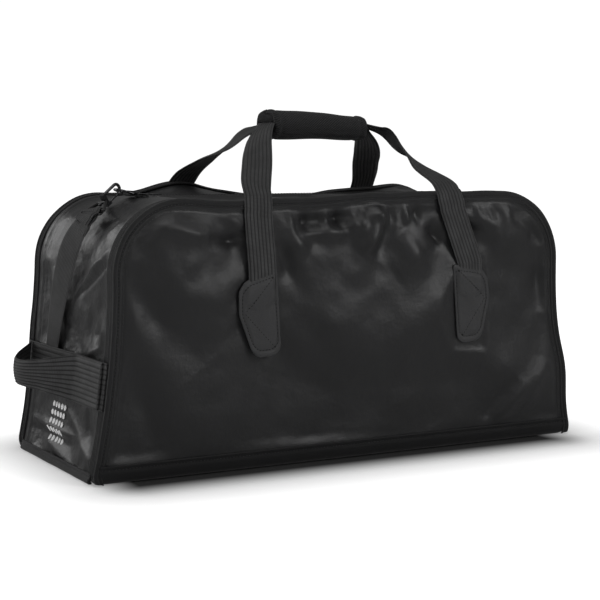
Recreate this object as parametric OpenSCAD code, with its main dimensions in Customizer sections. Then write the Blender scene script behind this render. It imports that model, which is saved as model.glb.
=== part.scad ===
// Duffel bag with an arched front and back, a zipped top and webbing handles.
// Millimetres, +Z up, +X along the bag, front panel towards -Y.
// The origin is the middle of the footprint, on the surface the bag stands on.

/* [Bag] */
// Length of the base
bag_length = 700; // [640:5:760]
// Distance between the outer faces of the front and back panels
bag_depth = 273; // [250:1:300]
// Height of the front and back panels
bag_height = 334; // [320:1:350]
// How far each end spreads out between the straight part of its side and the base
end_flare = 30; // [20:1:40]
// Radius of the two upper corners
corner_r = 90; // [80:1:100]
// Thickness of the fabric with its lining
fabric_t = 3; // [2:0.5:3.5]
// Height of the base fabric that turns up the front and the back
base_wrap = 22; // [15:1:30]

/* [Webbing and handles] */
// Width of the handle and strap webbing
webbing_w = 38; // [30:1:40]
// Thickness of the webbing
webbing_t = 2; // [1.5:0.5:2.5]
// Length of the padded grip wrap
grip_length = 145; // [130:1:150]
// Width of the grip wrap, front to back
grip_w = 46; // [46:1:50]
// Height of the grip wrap
grip_h = 33; // [30:1:36]
// Height of the middle of the grip above the ground
grip_z = 425; // [415:1:440]
// Sideways place of the grip's middle
grip_x = 20; // [0:1:24]
// Width of the end grab handles
grab_w = 56; // [50:1:60]
// How far the loop of an end grab handle stands out
grab_bulge = 38; // [36:1:46]

/* [Zips and hooks] */
// Half the length of the part of the mouth that opens
mouth_half = 214; // [200:1:214]
// Distance of the parked slider from the middle of the bag
slider_park = 231; // [230:1:232]
// Length of the zip pulls
pull_length = 30; // [26:1:31]
// Wire radius of the rings
ring_wire_r = 1.6; // [1.4:0.1:1.8]
// Length of the opening of the snap hooks
hook_eye = 22; // [20:1:24]

/* [Hidden] */
$fn = 48;

nylon = [0.09, 0.09, 0.095];
webbing = [0.06, 0.06, 0.06];
coated = [0.11, 0.11, 0.11];
dark_metal = [0.18, 0.18, 0.19];
black_plastic = [0.05, 0.05, 0.05];
board_grey = [0.3, 0.3, 0.3];

gap = 0.3;
half_d = bag_depth / 2;
inner_half_d = half_d - fabric_t;
side_half = bag_length / 2 - end_flare;
spring_z = bag_height - corner_r;
arc_x = side_half - corner_r;

// ---------- outline of the arch, seen from the front ----------

// Half width of the arch at height z, below the rounded corners
function side_x(z) = side_half + end_flare * pow(1 - z / spring_z, 2);

// Height of the gusset's outer surface over the rounded corner, at distance x from the middle
function arc_z(x) = spring_z + sqrt(pow(corner_r, 2) - pow(x - arc_x, 2));

// Right half of the arch, from height z0 up to the top, moved inwards by d
function arch_half(d, z0, sides = 8, turns = 14) = concat(
    [for (i = [0:sides]) let (z = z0 + (spring_z - z0) * i / sides) [side_x(z) - d, z]],
    [for (i = [1:turns]) let (a = 90 * i / turns)
        [arc_x + (corner_r - d) * cos(a), spring_z + (corner_r - d) * sin(a)]]
);

function flip(points) = [for (i = [len(points) - 1:-1:0]) [-points[i][0], points[i][1]]];

module arch_outline(d, z0) {
    right = arch_half(d, z0);
    polygon(concat(right, flip(right)));
}

// Stands a shape drawn in the X-Z plane up between the depths y0 and y1
module stand(y0, y1) {
    translate([0, y1, 0])
        rotate([90, 0, 0])
            linear_extrude(y1 - y0)
                children();
}

// Band that follows the arch, between the insets d0 and d1, cut to x > x0 and z0 < z < z1
module arch_band(d0, d1, x0, z0, z1, y0, y1) {
    intersection() {
        stand(y0, y1)
            difference() {
                arch_outline(d0, 0);
                arch_outline(d1, -1);
            }
        translate([x0, y0 - 1, z0])
            cube([bag_length, y1 - y0 + 2, z1 - z0]);
    }
}

module mirrored_x() {
    mirror([1, 0, 0])
        children();
}

module mirrored_y() {
    mirror([0, 1, 0])
        children();
}

// ---------- soft shell ----------

module upright_panel() {
    color(nylon)
        stand(-half_d, -inner_half_d)
            arch_outline(0, base_wrap + gap);
}

module front_panel() {
    upright_panel();
}

module back_panel() {
    mirrored_y()
        upright_panel();
}

// One end: up from the base, round the corner and in to the end of the mouth
module end_panel() {
    arch_band(0, fabric_t, mouth_half + gap, fabric_t + gap, bag_height + 1,
              -inner_half_d + gap, inner_half_d - gap);
}

zip_gap_half = 11;

// Slit in the gusset between the mouth and the end of the zip
module zip_end_slit() {
    translate([mouth_half - 1, -zip_gap_half, bag_height - 12])
        cube([slider_park + 14 - mouth_half, 2 * zip_gap_half, 14]);
}

module left_end_panel() {
    color(nylon)
        mirrored_x()
            difference() {
                end_panel();
                zip_end_slit();
            }
}

module right_end_panel() {
    color(nylon)
        difference() {
            end_panel();
            zip_end_slit();
            on_pocket()
                cube([2 * pocket_half, pocket_slot, 20], center = true);
        }
}

module base_panel() {
    color(coated)
        difference() {
            intersection() {
                stand(-half_d, half_d)
                    arch_outline(gap / 2, 0);
                translate([-bag_length / 2, -half_d - 1, 0])
                    cube([bag_length, bag_depth + 2, base_wrap]);
            }
            translate([-bag_length / 2 - 1, -inner_half_d, fabric_t])
                cube([bag_length + 2, 2 * inner_half_d, base_wrap]);
        }
}

board_t = 3;
board_margin = 12;

module base_board() {
    board_x = side_x(fabric_t + board_t) - fabric_t - board_margin;
    board_y = inner_half_d - 2;
    color(board_grey)
        translate([0, 0, fabric_t + gap])
            linear_extrude(board_t)
                offset(r = 20)
                    square([2 * board_x - 40, 2 * board_y - 40], center = true);
}

binding_t = 3;
binding_w = 13;

// Bound seam that follows the edge of an upright panel and stands proud of the gusset
module binding() {
    color(webbing)
        stand(-half_d, -half_d + binding_w)
            difference() {
                arch_outline(-binding_t, 1);
                arch_outline(-gap / 2, 0);
            }
}

module front_binding() {
    binding();
}

module back_binding() {
    mirrored_y()
        binding();
}

base_binding_h = 12;

// Bound seam between an end panel and the base
module base_binding() {
    color(webbing)
        arch_band(-binding_t, -gap / 2, 0, 1, base_binding_h,
                  -half_d + binding_w + gap, half_d - binding_w - gap);
}

module left_base_binding() {
    mirrored_x()
        base_binding();
}

module right_base_binding() {
    base_binding();
}

// ---------- mouth and main zip ----------

tape_t = 1.2;
tape_in = 3.4;
tape_out = 20;
flap_edge = 13;
chain_split = 0.65;
chain_h = 2.6;
chain_z = bag_height - fabric_t - 1;

module mouth_flap() {
    color(nylon)
        translate([-mouth_half, -inner_half_d + gap + 1, bag_height - fabric_t])
            cube([2 * mouth_half, inner_half_d - gap - 1 - flap_edge, fabric_t]);
}

module top_gusset_front() {
    mouth_flap();
}

module top_gusset_back() {
    mirrored_y()
        mouth_flap();
}

// Tape from x0 to x1, sewn under the edge of the fabric on the -Y side
module zip_tape(x0, x1) {
    translate([x0, -tape_out, chain_z - tape_t / 2 - gap])
        cube([x1 - x0, tape_out - tape_in, tape_t]);
}

// Half of the coil, from x0 to x1, on the -Y side
module zip_coil(x0, x1) {
    translate([x0, -tape_in + gap / 2, chain_z - gap - chain_h / 2])
        cube([x1 - x0, tape_in - gap / 2 - chain_split, chain_h]);
}

module zip_tape_front() {
    color(nylon)
        zip_tape(-mouth_half, mouth_half);
}

module zip_tape_back() {
    mirrored_y()
        zip_tape_front();
}

module zip_chain_front() {
    color(black_plastic)
        zip_coil(-mouth_half, mouth_half);
}

module zip_chain_back() {
    mirrored_y()
        zip_chain_front();
}

stop_length = 4;
end_tape_z = chain_z - gap - chain_h / 2 - gap / 2;

// Last stretch of the zip, which stays closed, with the stop that ends it
module zip_end() {
    x0 = mouth_half + gap;
    x1 = slider_park + 12;
    color(black_plastic) {
        for (s = [0, 1])
            mirror([0, s, 0]) {
                translate([x0, -tape_out, end_tape_z])
                    cube([x1 - x0, tape_out - tape_in + gap, tape_t]);
                zip_coil(x0, x1);
            }
        translate([x1 - stop_length, -tape_in, end_tape_z])
            cube([stop_length, 2 * tape_in, chain_h]);
    }
}

module zip_end_left() {
    mirrored_x()
        zip_end();
}

module zip_end_right() {
    zip_end();
}

slider_l = 14;
slider_w = 10;
slider_plate = 1.5;
slider_clear = 0.5;
lug_y = 2.1;
lug_t = 1.2;
pin_r = 1;
pin_h = 2.6;
eye_clear = 0.06;

// Zip slider: an upper and a lower plate joined by a web between the coils, with two lugs and a pin.
// Drawn along +X with the middle of the coil at the origin.
module slider_shape() {
    plate_z = chain_h / 2 + slider_clear;
    for (s = [-1, 1])
        translate([0, 0, s * (plate_z + slider_plate / 2)])
            intersection() {
                cube([slider_l, slider_w, slider_plate], center = true);
                cylinder(h = slider_plate + 1, r = slider_l / 2, center = true);
            }
    cube([5, 2 * chain_split - 0.4, 2 * plate_z + 0.2], center = true);
    translate([0, 0, plate_z + slider_plate]) {
        for (s = [-1, 1])
            translate([0, s * (lug_y + lug_t / 2), pin_h - 1])
                cube([4.4, lug_t, 2 * pin_h - 1.6], center = true);
        translate([0, lug_y + lug_t, pin_h])
            rotate([90, 0, 0])
                cylinder(h = 2 * (lug_y + lug_t), r = pin_r);
    }
}

// Height of the pull's pin over the middle of the coil
pull_pin_z = chain_h / 2 + slider_clear + slider_plate + pin_h;

// Pull: an eye on the slider's pin and a flat tab with a round end, lying along +X
module pull_shape(length) {
    eye_r = pin_r + 1.15;
    tab_w = 8;
    tab_t = 1.5;
    difference() {
        union() {
            translate([0, lug_y - 0.25, 0])
                rotate([90, 0, 0])
                    cylinder(h = 2 * lug_y - 0.5, r = eye_r);
            translate([0, -lug_y + 0.25, -tab_t / 2])
                cube([8, 2 * lug_y - 0.5, tab_t]);
            translate([7.5, 0, -tab_t / 2])
                linear_extrude(tab_t)
                    difference() {
                        union() {
                            translate([0, -tab_w / 2])
                                square([length - 7.5 - tab_w / 2, tab_w]);
                            translate([length - 7.5 - tab_w / 2, 0])
                                circle(d = tab_w);
                        }
                        translate([length - 7.5 - tab_w / 2, 0])
                            circle(d = 3);
                    }
        }
        rotate([90, 0, 0])
            cylinder(h = 3 * lug_y, r = pin_r + eye_clear, center = true);
    }
}

module at_main_slider() {
    translate([-slider_park, 0, chain_z - gap])
        children();
}

module zip_slider() {
    color(dark_metal)
        at_main_slider()
            slider_shape();
}

module zip_pull() {
    color(dark_metal)
        at_main_slider()
            translate([0, 0, pull_pin_z])
                pull_shape(pull_length);
}

// ---------- pocket zip low on the right end ----------

pocket_z = 34;
pocket_half = 118;
pocket_slot = 16;
pocket_park = 105;
pocket_tilt = atan(2 * end_flare / spring_z * (1 - pocket_z / spring_z));
pocket_pull_rest = 82;

// Local frame on the right end panel: +X runs towards the back, +Z faces out of the bag
module on_pocket() {
    translate([side_x(pocket_z), 0, pocket_z])
        rotate([0, 90 - pocket_tilt, 0])
            rotate([0, 0, 90])
                children();
}

module pocket_zip_tapes() {
    strip = pocket_slot / 2 + 5 - tape_in;
    color(nylon)
        on_pocket()
            for (s = [-1, 1])
                translate([0, s * (tape_in + strip / 2), -fabric_t - 1.5])
                    cube([2 * pocket_half, strip, tape_t], center = true);
}

module pocket_zip_chain() {
    color(black_plastic)
        on_pocket()
            translate([0, 0, -fabric_t - 0.5])
                for (s = [0, 1])
                    mirror([0, s, 0])
                        translate([-pocket_half + 1, -tape_in + gap / 2, -chain_h / 2])
                            cube([2 * pocket_half - 2, tape_in - gap / 2 - chain_split, chain_h]);
}

module at_pocket_slider() {
    on_pocket()
        translate([-pocket_park, 0, -fabric_t - 0.5])
            children();
}

module pocket_slider() {
    color(dark_metal)
        at_pocket_slider()
            slider_shape();
}

module pocket_pull() {
    color(dark_metal)
        at_pocket_slider()
            translate([0, 0, pull_pin_z])
                rotate([0, -pocket_pull_rest, 0])
                    pull_shape(pull_length);
}

lining_t = 2;
lining_depth = 120;
lining_h = 110;

// Fabric pocket behind the zip: a shelf over the compartment and a wall that closes it
module pocket_lining() {
    x1 = side_x(lining_h) - fabric_t - 3;
    x0 = x1 - lining_depth;
    z0 = fabric_t + 2 * gap + board_t;
    y = inner_half_d - 3;
    color(nylon) {
        translate([x0, -y, z0])
            cube([lining_t, 2 * y, lining_h - z0]);
        translate([x0, -y, lining_h - lining_t])
            cube([x1 - x0, 2 * y, lining_t]);
    }
}

// ---------- flat webbing that bends and twists ----------

function unit(v) = v / norm(v);
function bezier(p, t) = pow(1 - t, 3) * p[0] + 3 * pow(1 - t, 2) * t * p[1]
    + 3 * (1 - t) * pow(t, 2) * p[2] + pow(t, 3) * p[3];
function bezier_dir(p, t) = unit(pow(1 - t, 2) * (p[1] - p[0])
    + 2 * (1 - t) * t * (p[2] - p[1]) + pow(t, 2) * (p[3] - p[2]));
function ease(t) = t * t * (3 - 2 * t);

// Corners of the webbing's section at t along the curve p; the width turns from w0 to w1
function ribbon_ring(p, t, w0, w1, width, thick) =
    let (c = bezier(p, t), d = bezier_dir(p, t),
         raw = unit((1 - ease(t)) * w0 + ease(t) * w1),
         w = unit(raw - (raw * d) * d), n = cross(d, w))
    [c - w * width / 2 - n * thick / 2, c + w * width / 2 - n * thick / 2,
     c + w * width / 2 + n * thick / 2, c - w * width / 2 + n * thick / 2];

// Closed skin over a list of four-cornered rings
module skin(rings) {
    n = len(rings);
    points = [for (ring = rings) for (corner = ring) corner];
    faces = concat(
        [[0, 1, 2, 3]],
        [for (i = [0:n - 2]) for (k = [0:3])
            [4 * i + 4 + (k + 1) % 4, 4 * i + (k + 1) % 4, 4 * i + k]],
        [for (i = [0:n - 2]) for (k = [0:3])
            [4 * i + 4 + k, 4 * i + 4 + (k + 1) % 4, 4 * i + k]],
        [[4 * n - 1, 4 * n - 2, 4 * n - 3, 4 * n - 4]]
    );
    polyhedron(points, faces);
}

module ribbon(p, w0, w1, width, thick, steps = 20) {
    skin([for (i = [0:steps]) ribbon_ring(p, i / steps, w0, w1, width, thick)]);
}

// ---------- handles ----------

anchor_y = half_d + gap + webbing_t / 2;
anchor_foot_z = 205;
anchor_top_z = bag_height + binding_t - 1;
patch_t = 1.6;
patch_z = 191;

// Where the webbing leaves the panels' top edges, and where it passes under its patch
front_left_top = -135;
front_left_foot = -131;
front_right_top = 144;
front_right_foot = 176;
back_left_top = -118;
back_left_foot = -131;
back_right_top = 180;
back_right_foot = 176;

// Leather patch, its straight side towards the middle of the bag; +X of the shape points outwards
module patch_shape() {
    offset(r = 3)
        offset(delta = -3)
            polygon([[-27, 52], [18, 45], [28, 34], [32, 6], [21, -42], [13, -51], [-9, -53], [-19, -46]]);
}

// side is -1 for a patch left of the middle and 1 right of it; lean turns it on the panel
module front_patch(x, side, lean) {
    y = anchor_y + webbing_t / 2 + gap;
    color(coated)
        translate([x, -y, patch_z])
            rotate([0, lean, 0])
                rotate([90, 0, 0])
                    linear_extrude(patch_t)
                        scale([side, 1, 1])
                            patch_shape();
}

module front_left_patch() {
    front_patch(front_left_foot, -1, -8);
}

module front_right_patch() {
    front_patch(front_right_foot, 1, 0);
}

module back_left_patch() {
    mirrored_y()
        front_patch(back_left_foot, -1, 0);
}

module back_right_patch() {
    mirrored_y()
        front_patch(back_right_foot, 1, 0);
}

// Stretch of webbing sewn to the panel, from under the patch to the top edge
module front_anchor(foot_x, top_x) {
    half = webbing_w / 2;
    color(webbing)
        stand(-anchor_y - webbing_t / 2, -anchor_y + webbing_t / 2)
            polygon([[foot_x - half, anchor_foot_z], [foot_x + half, anchor_foot_z],
                     [foot_x + half, anchor_foot_z + 40], [top_x + half, anchor_top_z],
                     [top_x - half, anchor_top_z], [foot_x - half, anchor_foot_z + 40]]);
}

module front_left_anchor() {
    front_anchor(front_left_foot, front_left_top);
}

module front_right_anchor() {
    front_anchor(front_right_foot, front_right_top);
}

module back_left_anchor() {
    mirrored_y()
        front_anchor(back_left_foot, back_left_top);
}

module back_right_anchor() {
    mirrored_y()
        front_anchor(back_right_foot, back_right_top);
}

grip_overhang = 5;
layer_z = webbing_t / 2 + gap / 2;
leg_clear = 1.5;
leg_rise = 30;
leg_reach = 36;
leg_lean = 6;
leg_droop = 18;

// Free webbing from a front top edge up to one end of the grip, where it lies flat.
// side is -1 at the grip's left end and 1 at its right; layer is the webbing's place in the stack.
module front_leg(top_x, side, layer) {
    end_x = grip_x + side * (grip_length / 2 + grip_overhang + leg_clear);
    start = [top_x, -anchor_y, anchor_top_z + leg_clear];
    finish = [end_x, 0, grip_z + layer];
    path = [start, start + [0, 0, leg_rise], finish + [side * leg_reach, -leg_lean, -leg_droop], finish];
    color(webbing)
        ribbon(path, [1, 0, 0], [0, side, 0], webbing_w, webbing_t);
}

module front_left_leg() {
    front_leg(front_left_top, -1, layer_z);
}

module front_right_leg() {
    front_leg(front_right_top, 1, layer_z);
}

module back_left_leg() {
    mirrored_y()
        front_leg(back_left_top, -1, -layer_z);
}

module back_right_leg() {
    mirrored_y()
        front_leg(back_right_top, 1, -layer_z);
}

module grip_webbing(layer) {
    color(webbing)
        translate([grip_x, 0, grip_z + layer])
            cube([grip_length + 2 * grip_overhang, webbing_w, webbing_t], center = true);
}

module front_grip_webbing() {
    grip_webbing(layer_z);
}

module back_grip_webbing() {
    grip_webbing(-layer_z);
}

flap_t = 2.5;
fastener_t = 1;
wrap_w = grip_w - 2 * (flap_t + fastener_t + gap);
wrap_h = grip_h - 2 * (flap_t + fastener_t + gap);
wrap_r = 12;

// Rounded section of the grip, in the plane across it, grown by d
module grip_section(d) {
    offset(r = wrap_r + d)
        square([wrap_h - 2 * wrap_r, wrap_w - 2 * wrap_r + 3], center = true);
}

// Carries a section drawn across the grip to a body along it
module along_grip(length) {
    translate([grip_x - length / 2, 0, grip_z])
        rotate([0, 90, 0])
            linear_extrude(length)
                children();
}

module grip_wrap() {
    color(webbing)
        along_grip(grip_length)
            difference() {
                grip_section(0);
                square([2 * webbing_t + 3 * gap, webbing_w + 2 * gap], center = true);
            }
}

// Part of the grip's skin from d0 to d1 that lies in front, between the heights z0 and z1
module grip_shell(d0, d1, z0, z1, length) {
    along_grip(length)
        intersection() {
            difference() {
                grip_section(d1);
                grip_section(d0);
            }
            translate([-z1, -grip_w])
                square([z1 - z0, grip_w]);
        }
}

module grip_fastener() {
    color(black_plastic)
        grip_shell(0.1, fastener_t, -8, 6, grip_length - 20);
}

flap_drop = 9;

module grip_flap() {
    color(webbing)
        grip_shell(fastener_t + gap, fastener_t + gap + flap_t, -flap_drop, grip_h, grip_length - 2);
}

// ---------- grab handles at the ends ----------

grab_z = 115;
grab_lift = 3;
grab_half_y = half_d - binding_w - 2 * gap;
strap_slot = 3.2;

// Flat band that lies across the end panel and covers the foot of the strap
module grab_band() {
    color(webbing)
        arch_band(-strap_slot - webbing_t, -strap_slot, 0, grab_z - grab_w / 2, grab_z + grab_w / 2,
                  -grab_half_y, grab_half_y);
}

loop_front_y = -40;
loop_pinch = 0.42;

// Loop that stands out from the band; it lies flat at the front and bows out towards the back
function grab_bow(y) = y < loop_front_y ? 0
    : pow(sin(180 * (y - loop_front_y) / (grab_half_y - 4 - loop_front_y)), 1.3);

function grab_ring(y, x0) =
    let (x = x0 + grab_bulge * grab_bow(y), h = grab_w / 2 * (1 - loop_pinch * grab_bow(y)))
    [[x, y, grab_z - h], [x, y, grab_z + h], [x + webbing_t, y, grab_z + h], [x + webbing_t, y, grab_z - h]];

module grab_loop() {
    x0 = side_x(grab_z - grab_w / 2) + strap_slot + webbing_t + gap;
    steps = 26;
    y_end = grab_half_y - 4;
    color(webbing)
        skin([for (i = [0:steps]) grab_ring(-y_end + 2 * y_end * i / steps, x0)]);
}

module left_grab_band() {
    mirrored_x()
        grab_band();
}

module left_grab_loop() {
    mirrored_x()
        grab_loop();
}

module right_grab_band() {
    grab_band();
}

module right_grab_loop() {
    grab_loop();
}

// ---------- rings, snap hook and strap ----------
// All drawn with +X outwards, and mirrored for the left end.

tab_w = 25;
ring_x = 246;
ring_bar_z = arc_z(ring_x) + 4.6;
ring_half_w = 15;
ring_reach = 18;
ring_rise = 16;
ring_rest = 12;
tab_inner_r = ring_wire_r + 0.5;
tab_outer_r = tab_inner_r + 1.6;
hook_dip = 33;
hook_yaw = -24;
hook_roll = -10;
hook_r = 2;
hook_bend_r = 6.5;
loop_start = 30;
loop_bar = 50;
loop_bar_half = 22;
loop_top_half = 7;
loop_wire_r = 2;

module rod(p, q, r) {
    d = q - p;
    translate(p)
        rotate([0, acos(d[2] / norm(d)), atan2(d[1], d[0])])
            cylinder(h = norm(d), r = r);
}

module chain_of_rods(points, r) {
    for (i = [0:len(points) - 2])
        rod(points[i], points[i + 1], r);
    for (p = points)
        translate(p)
            sphere(r = r);
}

// Webbing tab folded round the straight side of the ring and sewn to the gusset
module ring_tab() {
    foot = 5;
    color(webbing)
        difference() {
            union() {
                translate([ring_x, tab_w / 2, ring_bar_z])
                    rotate([90, 0, 0])
                        cylinder(h = tab_w, r = tab_outer_r);
                translate([ring_x - foot, -tab_w / 2, arc_z(ring_x - foot) + gap])
                    cube([foot + 1, tab_w, ring_bar_z + tab_outer_r - arc_z(ring_x - foot) - gap - 1.6]);
            }
            translate([ring_x, tab_w, ring_bar_z])
                rotate([90, 0, 0])
                    cylinder(h = 2 * tab_w, r = tab_inner_r);
        }
}

// D ring: a straight bar in the tab and a bow that the hook holds, raised by an angle
module d_ring(rise) {
    bow = ring_half_w - 2;
    color(dark_metal)
        translate([ring_x, 0, ring_bar_z])
            rotate([0, -rise, 0]) {
            chain_of_rods([[ring_reach - bow, ring_half_w, 0], [0, ring_half_w, 0],
                           [0, -ring_half_w, 0], [ring_reach - bow, -ring_half_w, 0]], ring_wire_r);
            translate([ring_reach - bow, 0, 0])
                for (s = [-1, 1])
                    translate([0, s * 2, 0])
                        scale([1, s, 1])
                            rotate_extrude(angle = 90)
                                translate([bow, 0])
                                    circle(r = ring_wire_r, $fn = 24);
            rod([ring_reach, -2, 0], [ring_reach, 2, 0], ring_wire_r);
        }
}

hook_x = ring_x + ring_reach * cos(ring_rise);
hook_z = ring_bar_z + ring_reach * sin(ring_rise);

// Frame of the hook: the origin is inside its bend, where the ring passes, +X runs to the strap
module at_hook() {
    translate([hook_x, 0, hook_z])
        rotate([0, 0, hook_yaw])
            rotate([0, hook_dip, 0])
                children();
}

gate_pivot_x = hook_eye - 2.5;
gate_r = 1.5;
gate_pin_r = 0.8;

// Hook: a bend round the ring, a back over the top and a collar that holds the gate
module hook() {
    color(dark_metal)
        at_hook() {
            rotate([90, 0, 0])
                rotate([0, 0, 90])
                    rotate_extrude(angle = 180)
                        translate([hook_bend_r, 0])
                            circle(r = hook_r, $fn = 24);
            rod([0, 0, hook_bend_r], [hook_eye, 0, hook_bend_r], hook_r);
            difference() {
                translate([hook_eye - 1, -3.5, -hook_bend_r - 2])
                    cube([5, 7, 2 * hook_bend_r + 4]);
                translate([hook_eye - 6, -gate_r - 0.3, -hook_bend_r - 3])
                    cube([8, 2 * gate_r + 0.6, hook_bend_r + 4]);
            }
            for (s = [-1, 1])
                translate([gate_pivot_x - 2, s * 2.65 - 0.85, -hook_bend_r - 2])
                    cube([4, 1.7, 4]);
            translate([gate_pivot_x, 3.4, -hook_bend_r])
                rotate([90, 0, 0])
                    cylinder(h = 6.8, r = gate_pin_r);
            rod([hook_eye + 3.5, 0, 0], [loop_start - 2.6, 0, 0], 2.4);
            rod([loop_start - 0.6, 0, 0], [loop_start + 1.9, 0, 0], 1.5);
            rod([loop_start - 3, 0, 0], [loop_start, 0, 0], 1.5);
            translate([loop_start + 3.4, 0, 0])
                sphere(r = 2.2);
        }
}

// Gate: a bar from the collar to the mouth of the bend, sprung shut
module hook_gate() {
    color(dark_metal)
        at_hook()
            difference() {
                union() {
                    rod([1.2, 0, -hook_bend_r], [gate_pivot_x - 1.3, 0, -hook_bend_r], gate_r);
                    translate([gate_pivot_x, gate_r - 0.1, -hook_bend_r])
                        rotate([90, 0, 0])
                            cylinder(h = 2 * gate_r - 0.2, r = gate_pin_r + 1.1);
                }
                translate([gate_pivot_x, 3, -hook_bend_r])
                    rotate([90, 0, 0])
                        cylinder(h = 6, r = gate_pin_r + eye_clear);
            }
}

module at_loop() {
    at_hook()
        rotate([hook_roll, 0, 0])
            children();
}

// Loop that the strap passes through, held on the hook's swivel post
module hook_loop() {
    color(black_plastic)
        at_loop()
            difference() {
                chain_of_rods([[loop_start - 0.6, -loop_top_half, 0], [loop_bar, -loop_bar_half, 0],
                               [loop_bar, loop_bar_half, 0], [loop_start - 0.6, loop_top_half, 0],
                               [loop_start - 0.6, -loop_top_half, 0]], loop_wire_r);
                rod([loop_start - 5, 0, 0], [loop_start + 4, 0, 0], 1.6);
            }
}

strap_t = 1.8;
// How far the strap starts past the centre of the loop's bar
strap_start = 8;
strap_foot_z = grab_z - 8;
strap_foot_y = 56;
strap_top_pull = [16, 12, -22];
strap_foot_pull = [-15.5, 6, 84];

// The strap's points at the hook, worked out from the hook's own frame
function turn_x(v, a) = [v[0], v[1] * cos(a) - v[2] * sin(a), v[1] * sin(a) + v[2] * cos(a)];
function turn_y(v, a) = [v[0] * cos(a) + v[2] * sin(a), v[1], -v[0] * sin(a) + v[2] * cos(a)];
function turn_z(v, a) = [v[0] * cos(a) - v[1] * sin(a), v[0] * sin(a) + v[1] * cos(a), v[2]];
function hook_dir(v) = turn_z(turn_y(turn_x(v, hook_roll), hook_dip), hook_yaw);
bar_centre = [hook_x, 0, hook_z] + hook_dir([loop_bar, 0, 0]);

// Strap: from the loop's bar down the end panel and in behind the grab band
module strap() {
    top = bar_centre + hook_dir([strap_start, 0, 0]);
    foot = [side_x(strap_foot_z) + 2 * gap + strap_t / 2, strap_foot_y, strap_foot_z];
    path = [top, top + hook_dir([36, 0, 0]) + strap_top_pull, foot + strap_foot_pull, foot];
    color(webbing)
        ribbon(path, hook_dir([0, 1, 0]), [0, 1, 0], webbing_w, strap_t, 16);
}

module left_ring_tab() {
    mirrored_x()
        ring_tab();
}

module left_d_ring() {
    mirrored_x()
        d_ring(ring_rise);
}

module left_hook() {
    mirrored_x()
        hook();
}

module left_hook_gate() {
    mirrored_x()
        hook_gate();
}

module left_hook_loop() {
    mirrored_x()
        hook_loop();
}

module left_strap() {
    mirrored_x()
        strap();
}

right_ring_turn = 27;

// The free ring on the right sits further round the corner
module round_the_corner() {
    translate([arc_x, 0, spring_z])
        rotate([0, right_ring_turn, 0])
            translate([-arc_x, 0, -spring_z])
                children();
}

module right_ring_tab() {
    round_the_corner()
        ring_tab();
}

module right_d_ring() {
    round_the_corner()
        d_ring(-ring_rest);
}

front_panel();
back_panel();
left_end_panel();
right_end_panel();
base_panel();
base_board();
front_binding();
back_binding();
left_base_binding();
right_base_binding();
top_gusset_front();
top_gusset_back();
zip_tape_front();
zip_tape_back();
zip_chain_front();
zip_chain_back();
zip_end_left();
zip_end_right();
zip_slider();
zip_pull();
front_left_patch();
front_right_patch();
back_left_patch();
back_right_patch();
front_left_anchor();
front_right_anchor();
back_left_anchor();
back_right_anchor();
front_left_leg();
front_right_leg();
back_left_leg();
back_right_leg();
front_grip_webbing();
back_grip_webbing();
grip_wrap();
grip_fastener();
grip_flap();
left_grab_band();
left_grab_loop();
right_grab_band();
right_grab_loop();
left_ring_tab();
left_d_ring();
left_hook();
left_hook_gate();
left_hook_loop();
left_strap();
right_ring_tab();
right_d_ring();
pocket_zip_tapes();
pocket_zip_chain();
pocket_slider();
pocket_pull();
pocket_lining();
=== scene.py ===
"""Looks of an arched duffel bag: nylon shell, bound seams, ribbed webbing, padded grip, zips and hook."""
import math

import bpy
import numpy as np
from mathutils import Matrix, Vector


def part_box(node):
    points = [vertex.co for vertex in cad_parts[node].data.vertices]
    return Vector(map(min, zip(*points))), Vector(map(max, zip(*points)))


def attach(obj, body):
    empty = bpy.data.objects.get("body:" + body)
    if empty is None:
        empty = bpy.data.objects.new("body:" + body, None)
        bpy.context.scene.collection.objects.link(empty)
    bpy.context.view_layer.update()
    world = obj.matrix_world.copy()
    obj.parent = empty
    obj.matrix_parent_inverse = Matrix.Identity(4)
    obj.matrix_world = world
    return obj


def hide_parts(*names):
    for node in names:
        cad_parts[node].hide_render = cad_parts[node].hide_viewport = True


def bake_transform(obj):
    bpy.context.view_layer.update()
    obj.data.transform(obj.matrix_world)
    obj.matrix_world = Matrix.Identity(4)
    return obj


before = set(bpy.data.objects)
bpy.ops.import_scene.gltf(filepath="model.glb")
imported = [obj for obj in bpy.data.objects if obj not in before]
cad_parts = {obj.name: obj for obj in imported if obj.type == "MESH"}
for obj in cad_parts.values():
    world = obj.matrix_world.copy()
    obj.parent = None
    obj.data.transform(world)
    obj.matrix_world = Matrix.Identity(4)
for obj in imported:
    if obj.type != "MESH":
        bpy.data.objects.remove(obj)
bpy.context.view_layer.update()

MM = 0.001

# ---------- sizes in millimetres; lengths along +X, the front panel faces -Y ----------

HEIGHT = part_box("front_panel")[1].z / MM
HALF_DEPTH = -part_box("front_panel")[0].y / MM
CORNER_R = 90
END_FLARE = 30
BASE_HALF = 350
SIDE_HALF = BASE_HALF - END_FLARE
SPRING_Z = HEIGHT - CORNER_R
ARC_X = SIDE_HALF - CORNER_R
MOUTH_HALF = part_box("top_gusset_front")[1].x / MM
BASE_WRAP = 22
FABRIC_T = 1.2
WEBBING_W = 38
WEBBING_T = 2
WEBBING_Y = HALF_DEPTH + 1.3
LEAN_Z, PANEL_TOP_Z = 245, 336
BINDING_W = 13
GUSSET_HALF = HALF_DEPTH - 3.3


def side_x(z):
    """Half width of the arch at height z."""
    return SIDE_HALF + END_FLARE * np.maximum(0, 1 - np.asarray(z, float) / SPRING_Z) ** 2


def smooth(t):
    t = np.clip(t, 0, 1)
    return t * t * (3 - 2 * t)


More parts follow.
